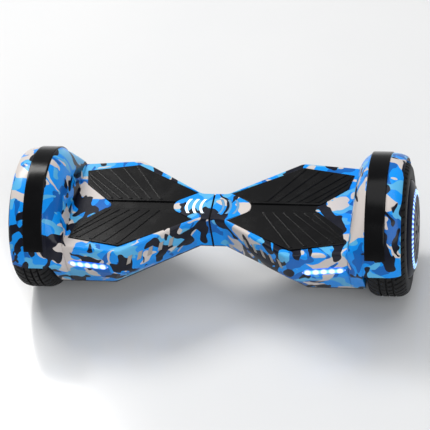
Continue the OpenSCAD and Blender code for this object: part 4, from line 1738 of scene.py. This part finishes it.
def ring_glow(effects: Effects, form: Form, dashes: int) -> bpy.types.Material:
    """Lit ring of the hub: blue, with radial white dashes.

    Args:
        effects: The shared node groups.
        form: Main sizes.
        dashes: Dashes round the ring.

    Returns:
        The material.
    """
    material, shader, surface = start_material("hub_ring_glow")
    where = shader.add("ShaderNodeTexCoord").outputs["Object"]
    parts = shader.add("ShaderNodeSeparateXYZ", Vector=where)
    rise = shader.math("SUBTRACT", parts.outputs["Z"], form.axle_z * MM)
    turn = shader.math("MULTIPLY", shader.math("ARCTAN2", rise, parts.outputs["Y"]), float(dashes))
    mask = shader.step(shader.math("COSINE", turn), -0.05, 0.35)
    colour = shader.mix(mask, (0.02, 0.10, 0.85, 1.0), (0.45, 0.85, 1.0, 1.0))
    shader.set(surface.inputs["Emission Color"], colour)
    surface.inputs["Emission Strength"].default_value = 1.1
    shader.set(surface.inputs["Base Color"], shader.mix(0.5, colour, (0.1, 0.2, 0.6, 1.0)))
    marks = shader.add("ShaderNodeGroup", node_tree=effects.handling, Amount=0.3, Scale=80.0)
    shader.set(surface.inputs["Roughness"], shader.math("MULTIPLY_ADD", marks.outputs[0], 0.2, 0.2))
    surface.inputs["Coat Weight"].default_value = 0.5
    return material


def build_finishes(effects: Effects, form: Form, wheel: Wheel) -> dict[str, bpy.types.Material]:
    """Makes one material for each slot of the record.

    Args:
        effects: The shared node groups.
        form: Main sizes.
        wheel: The wheel, whose ring has the dashes.

    Returns:
        The materials by slot.
    """
    plain = {
        "underside_plastic": Moulded(
            "textured_black", (0.018, 0.020, 0.026), 0.52, grain=520.0, depth=0.35,
        ),
        "bumper_band": Moulded(
            "band_rubber", (0.0015, 0.0015, 0.0019), 0.17, grain=900.0, depth=0.04, marks=0.12, specular=0.16,
        ),
        "cast_frame": Moulded("blasted_casting", (0.56, 0.57, 0.59), 0.42, 0.95, 600.0, 0.35),
        "copper_windings": Moulded("enamelled_copper", (0.52, 0.19, 0.07), 0.30, 0.9, 1400.0, 0.3),
        "light_housing": Moulded("lamp_housing", (0.012, 0.016, 0.026), 0.45),
        "vent_insert": Moulded("vent_slats", (0.42, 0.38, 0.34), 0.44, grain=800.0, depth=0.12, marks=0.4),
        "circuit_board": Moulded(
            "solder_mask", (0.012, 0.12, 0.045), 0.35, grain=380.0, depth=0.25, coat=0.3,
        ),
        "motor_rim": Moulded("painted_rim", (0.014, 0.015, 0.018), 0.34, 0.2, 800.0, 0.12, coat=0.3),
        "tyre_rubber": Moulded(
            "tread_rubber", (0.0045, 0.0045, 0.005), 0.55, grain=640.0, depth=0.2, marks=0.4, specular=0.25,
        ),
        "hub_cap": Moulded(
            "gloss_cap", (0.0015, 0.0025, 0.010), 0.30, grain=900.0, depth=0.02, marks=0.2, specular=0.10,
        ),
        "pad_rubber": Moulded(
            "grip_rubber", (0.0026, 0.0026, 0.0030), 0.25, grain=760.0, depth=0.05, marks=0.15, specular=0.18,
        ),
        "bush_nylon": Moulded("bush_nylon", (0.62, 0.60, 0.54), 0.4),
        "battery_wrap": Moulded("battery_wrap", (0.01, 0.06, 0.26), 0.3, grain=300.0, depth=0.2, coat=0.4),
        "strap_fabric": Moulded("strap_webbing", (0.02, 0.02, 0.022), 0.8, grain=1500.0, depth=0.8),
    }
    metal = {
        "fastener_steel": BrushedMetal("plated_steel", (0.50, 0.51, 0.53), 0.34),
        "bearing_steel": BrushedMetal("ground_steel", (0.62, 0.63, 0.65), 0.22),
        "button_metal": BrushedMetal("button_steel", (0.56, 0.57, 0.60), 0.26, (40.0, 40.0, 1.0)),
    }
    lenses = {
        "tail_lens": LitLens("rear_red", (0.30, 0.006, 0.010)),
        "lit_indicator": LitLens("indicator_lit", (0.8, 0.9, 1.0), (0.80, 0.93, 1.0), 0.95),
        "unlit_indicator": LitLens("indicator_unlit", (0.12, 0.34, 0.60), roughness=0.3),
        "led_lens": LitLens("lamp_glow", (0.6, 0.85, 1.0), (0.3, 0.7, 1.0), 3.0),
    }
    made = {key: finish.build(effects) for key, finish in {**plain, **metal, **lenses}.items()}
    made["camo_shell"] = CamoFilm().build(effects)
    made["hub_light"] = ring_glow(effects, form, wheel.dashes)
    return made


@dataclass(frozen=True)
class Studio:
    """Pale floor, soft lamps and an even sky."""

    floor_size: float = 14.0
    sky: tuple[float, float, float] = (0.97, 0.98, 1.0)
    sky_strength: float = 0.38
    floor_roughness: float = 0.16

    def lamp(self, name: str, at: Point, aim: Point, size: Flat, watts: float, tint: Point) -> None:
        """Adds one soft rectangular lamp that points at a place, in metres.

        Args:
            name: Name of the lamp.
            at: Where it stands.
            aim: Where it points.
            size: Its two sides.
            watts: Its power.
            tint: Its colour.
        """
        data = bpy.data.lights.new(name, "AREA")
        data.shape = "RECTANGLE"
        data.size, data.size_y = size
        data.energy = watts
        data.color = tint
        lamp = bpy.data.objects.new(name, data)
        lamp.location = at
        lamp.rotation_euler = (Vector(aim) - Vector(at)).to_track_quat("-Z", "Y").to_euler()
        bpy.context.scene.collection.objects.link(lamp)

    def build(self) -> None:
        """Adds the floor, the lamps and the sky."""
        half = self.floor_size / 2
        mesh = bpy.data.meshes.new("floor")
        corners = [(x, y, 0.0) for x, y in block(-half, half, half)]
        mesh.from_pydata(corners, [], [(0, 1, 2, 3)])
        floor = bpy.data.objects.new("floor", mesh)
        bpy.context.scene.collection.objects.link(floor)
        material, shader, surface = start_material("pale_floor")
        where = shader.add("ShaderNodeTexCoord").outputs["Object"]
        cloud = shader.noise(where, 1.6, 4.0)
        tone = shader.mix(cloud.outputs["Fac"], (0.72, 0.73, 0.74, 1.0), (0.82, 0.82, 0.82, 1.0))
        shader.set(surface.inputs["Base Color"], tone)
        surface.inputs["Roughness"].default_value = self.floor_roughness
        dress(floor, material)
        self.lamp("key", (-1.5, 1.5, 2.3), (0.0, 0.0, 0.1), (1.3, 1.0), 62.0, (1.0, 0.985, 0.96))
        self.lamp("fill", (1.3, -2.2, 1.7), (0.0, 0.0, 0.1), (2.2, 1.6), 30.0, (0.96, 0.98, 1.0))
        self.lamp("top", (0.3, 0.2, 2.6), (0.0, 0.0, 0.0), (2.0, 1.4), 16.0, (1.0, 1.0, 1.0))
        world = bpy.data.worlds.new("sky")
        world.use_nodes = True
        world.node_tree.nodes["Background"].inputs["Color"].default_value = (*self.sky, 1.0)
        world.node_tree.nodes["Background"].inputs["Strength"].default_value = self.sky_strength
        bpy.context.scene.world = world
        bpy.context.scene.view_settings.view_transform = "Standard"


@dataclass(frozen=True)
class Viewpoint:
    """Camera at a bearing, height angle and distance from an aim point. Angles are in degrees."""

    azimuth: float = 14.0
    elevation: float = 40.66
    roll: float = -7.94
    distance: float = 3.02
    lens: float = 167.4
    aim: Point = (0.0025, 0.0, 0.1203)

    def build(self) -> None:
        """Adds the camera and makes it the scene's own."""
        az, el, roll = (math.radians(a) for a in (self.azimuth, self.elevation, self.roll))
        back = Vector((math.sin(az) * math.cos(el), -math.cos(az) * math.cos(el), math.sin(el)))
        right = (-back).cross(Vector((0.0, 0.0, 1.0))).normalized()
        up = right.cross(-back)
        across = math.cos(roll) * right + math.sin(roll) * up
        over = math.cos(roll) * up - math.sin(roll) * right
        data = bpy.data.cameras.new("viewpoint")
        data.lens = self.lens
        data.sensor_width = 36.0
        camera = bpy.data.objects.new("viewpoint", data)
        turn = Matrix((across, over, back)).transposed().to_4x4()
        camera.matrix_world = Matrix.Translation(Vector(self.aim) + back * self.distance) @ turn
        bpy.context.scene.collection.objects.link(camera)
        bpy.context.scene.camera = camera


def main() -> None:
    """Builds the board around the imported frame."""
    logging.basicConfig(level=logging.INFO, format="%(message)s")
    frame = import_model()
    Viewpoint().build()
    Studio().build()
    form = Form.read()
    body = Body(form)
    plan = PadPlan(body)
    deck, arch, pad, wheel = Deck(body, plan), Arch(body), Pad(plan), Wheel(form)
    effects = Effects.build()
    finishes = build_finishes(effects, form, wheel)
    slots = {entry["node"]: entry["material_slot"] for entry in frame["record"]["subparts"]}
    for name, obj in frame["nodes"].items():
        dress(obj, finishes[slots[name]])
    for side in Side:
        deck.build(side, finishes["camo_shell"])
        arch.build_shell(side, finishes["camo_shell"])
        arch.build_band(side, finishes["bumper_band"])
        pad.build(side, finishes["pad_rubber"])
        wheel.build_tyre(side, finishes["tyre_rubber"])
        wheel.build_cap(side, finishes["hub_cap"], finishes["hub_light"])
        Lamps(deck).build(side, effects, finishes["tail_lens"])


if __name__ == "__main__":
    main()
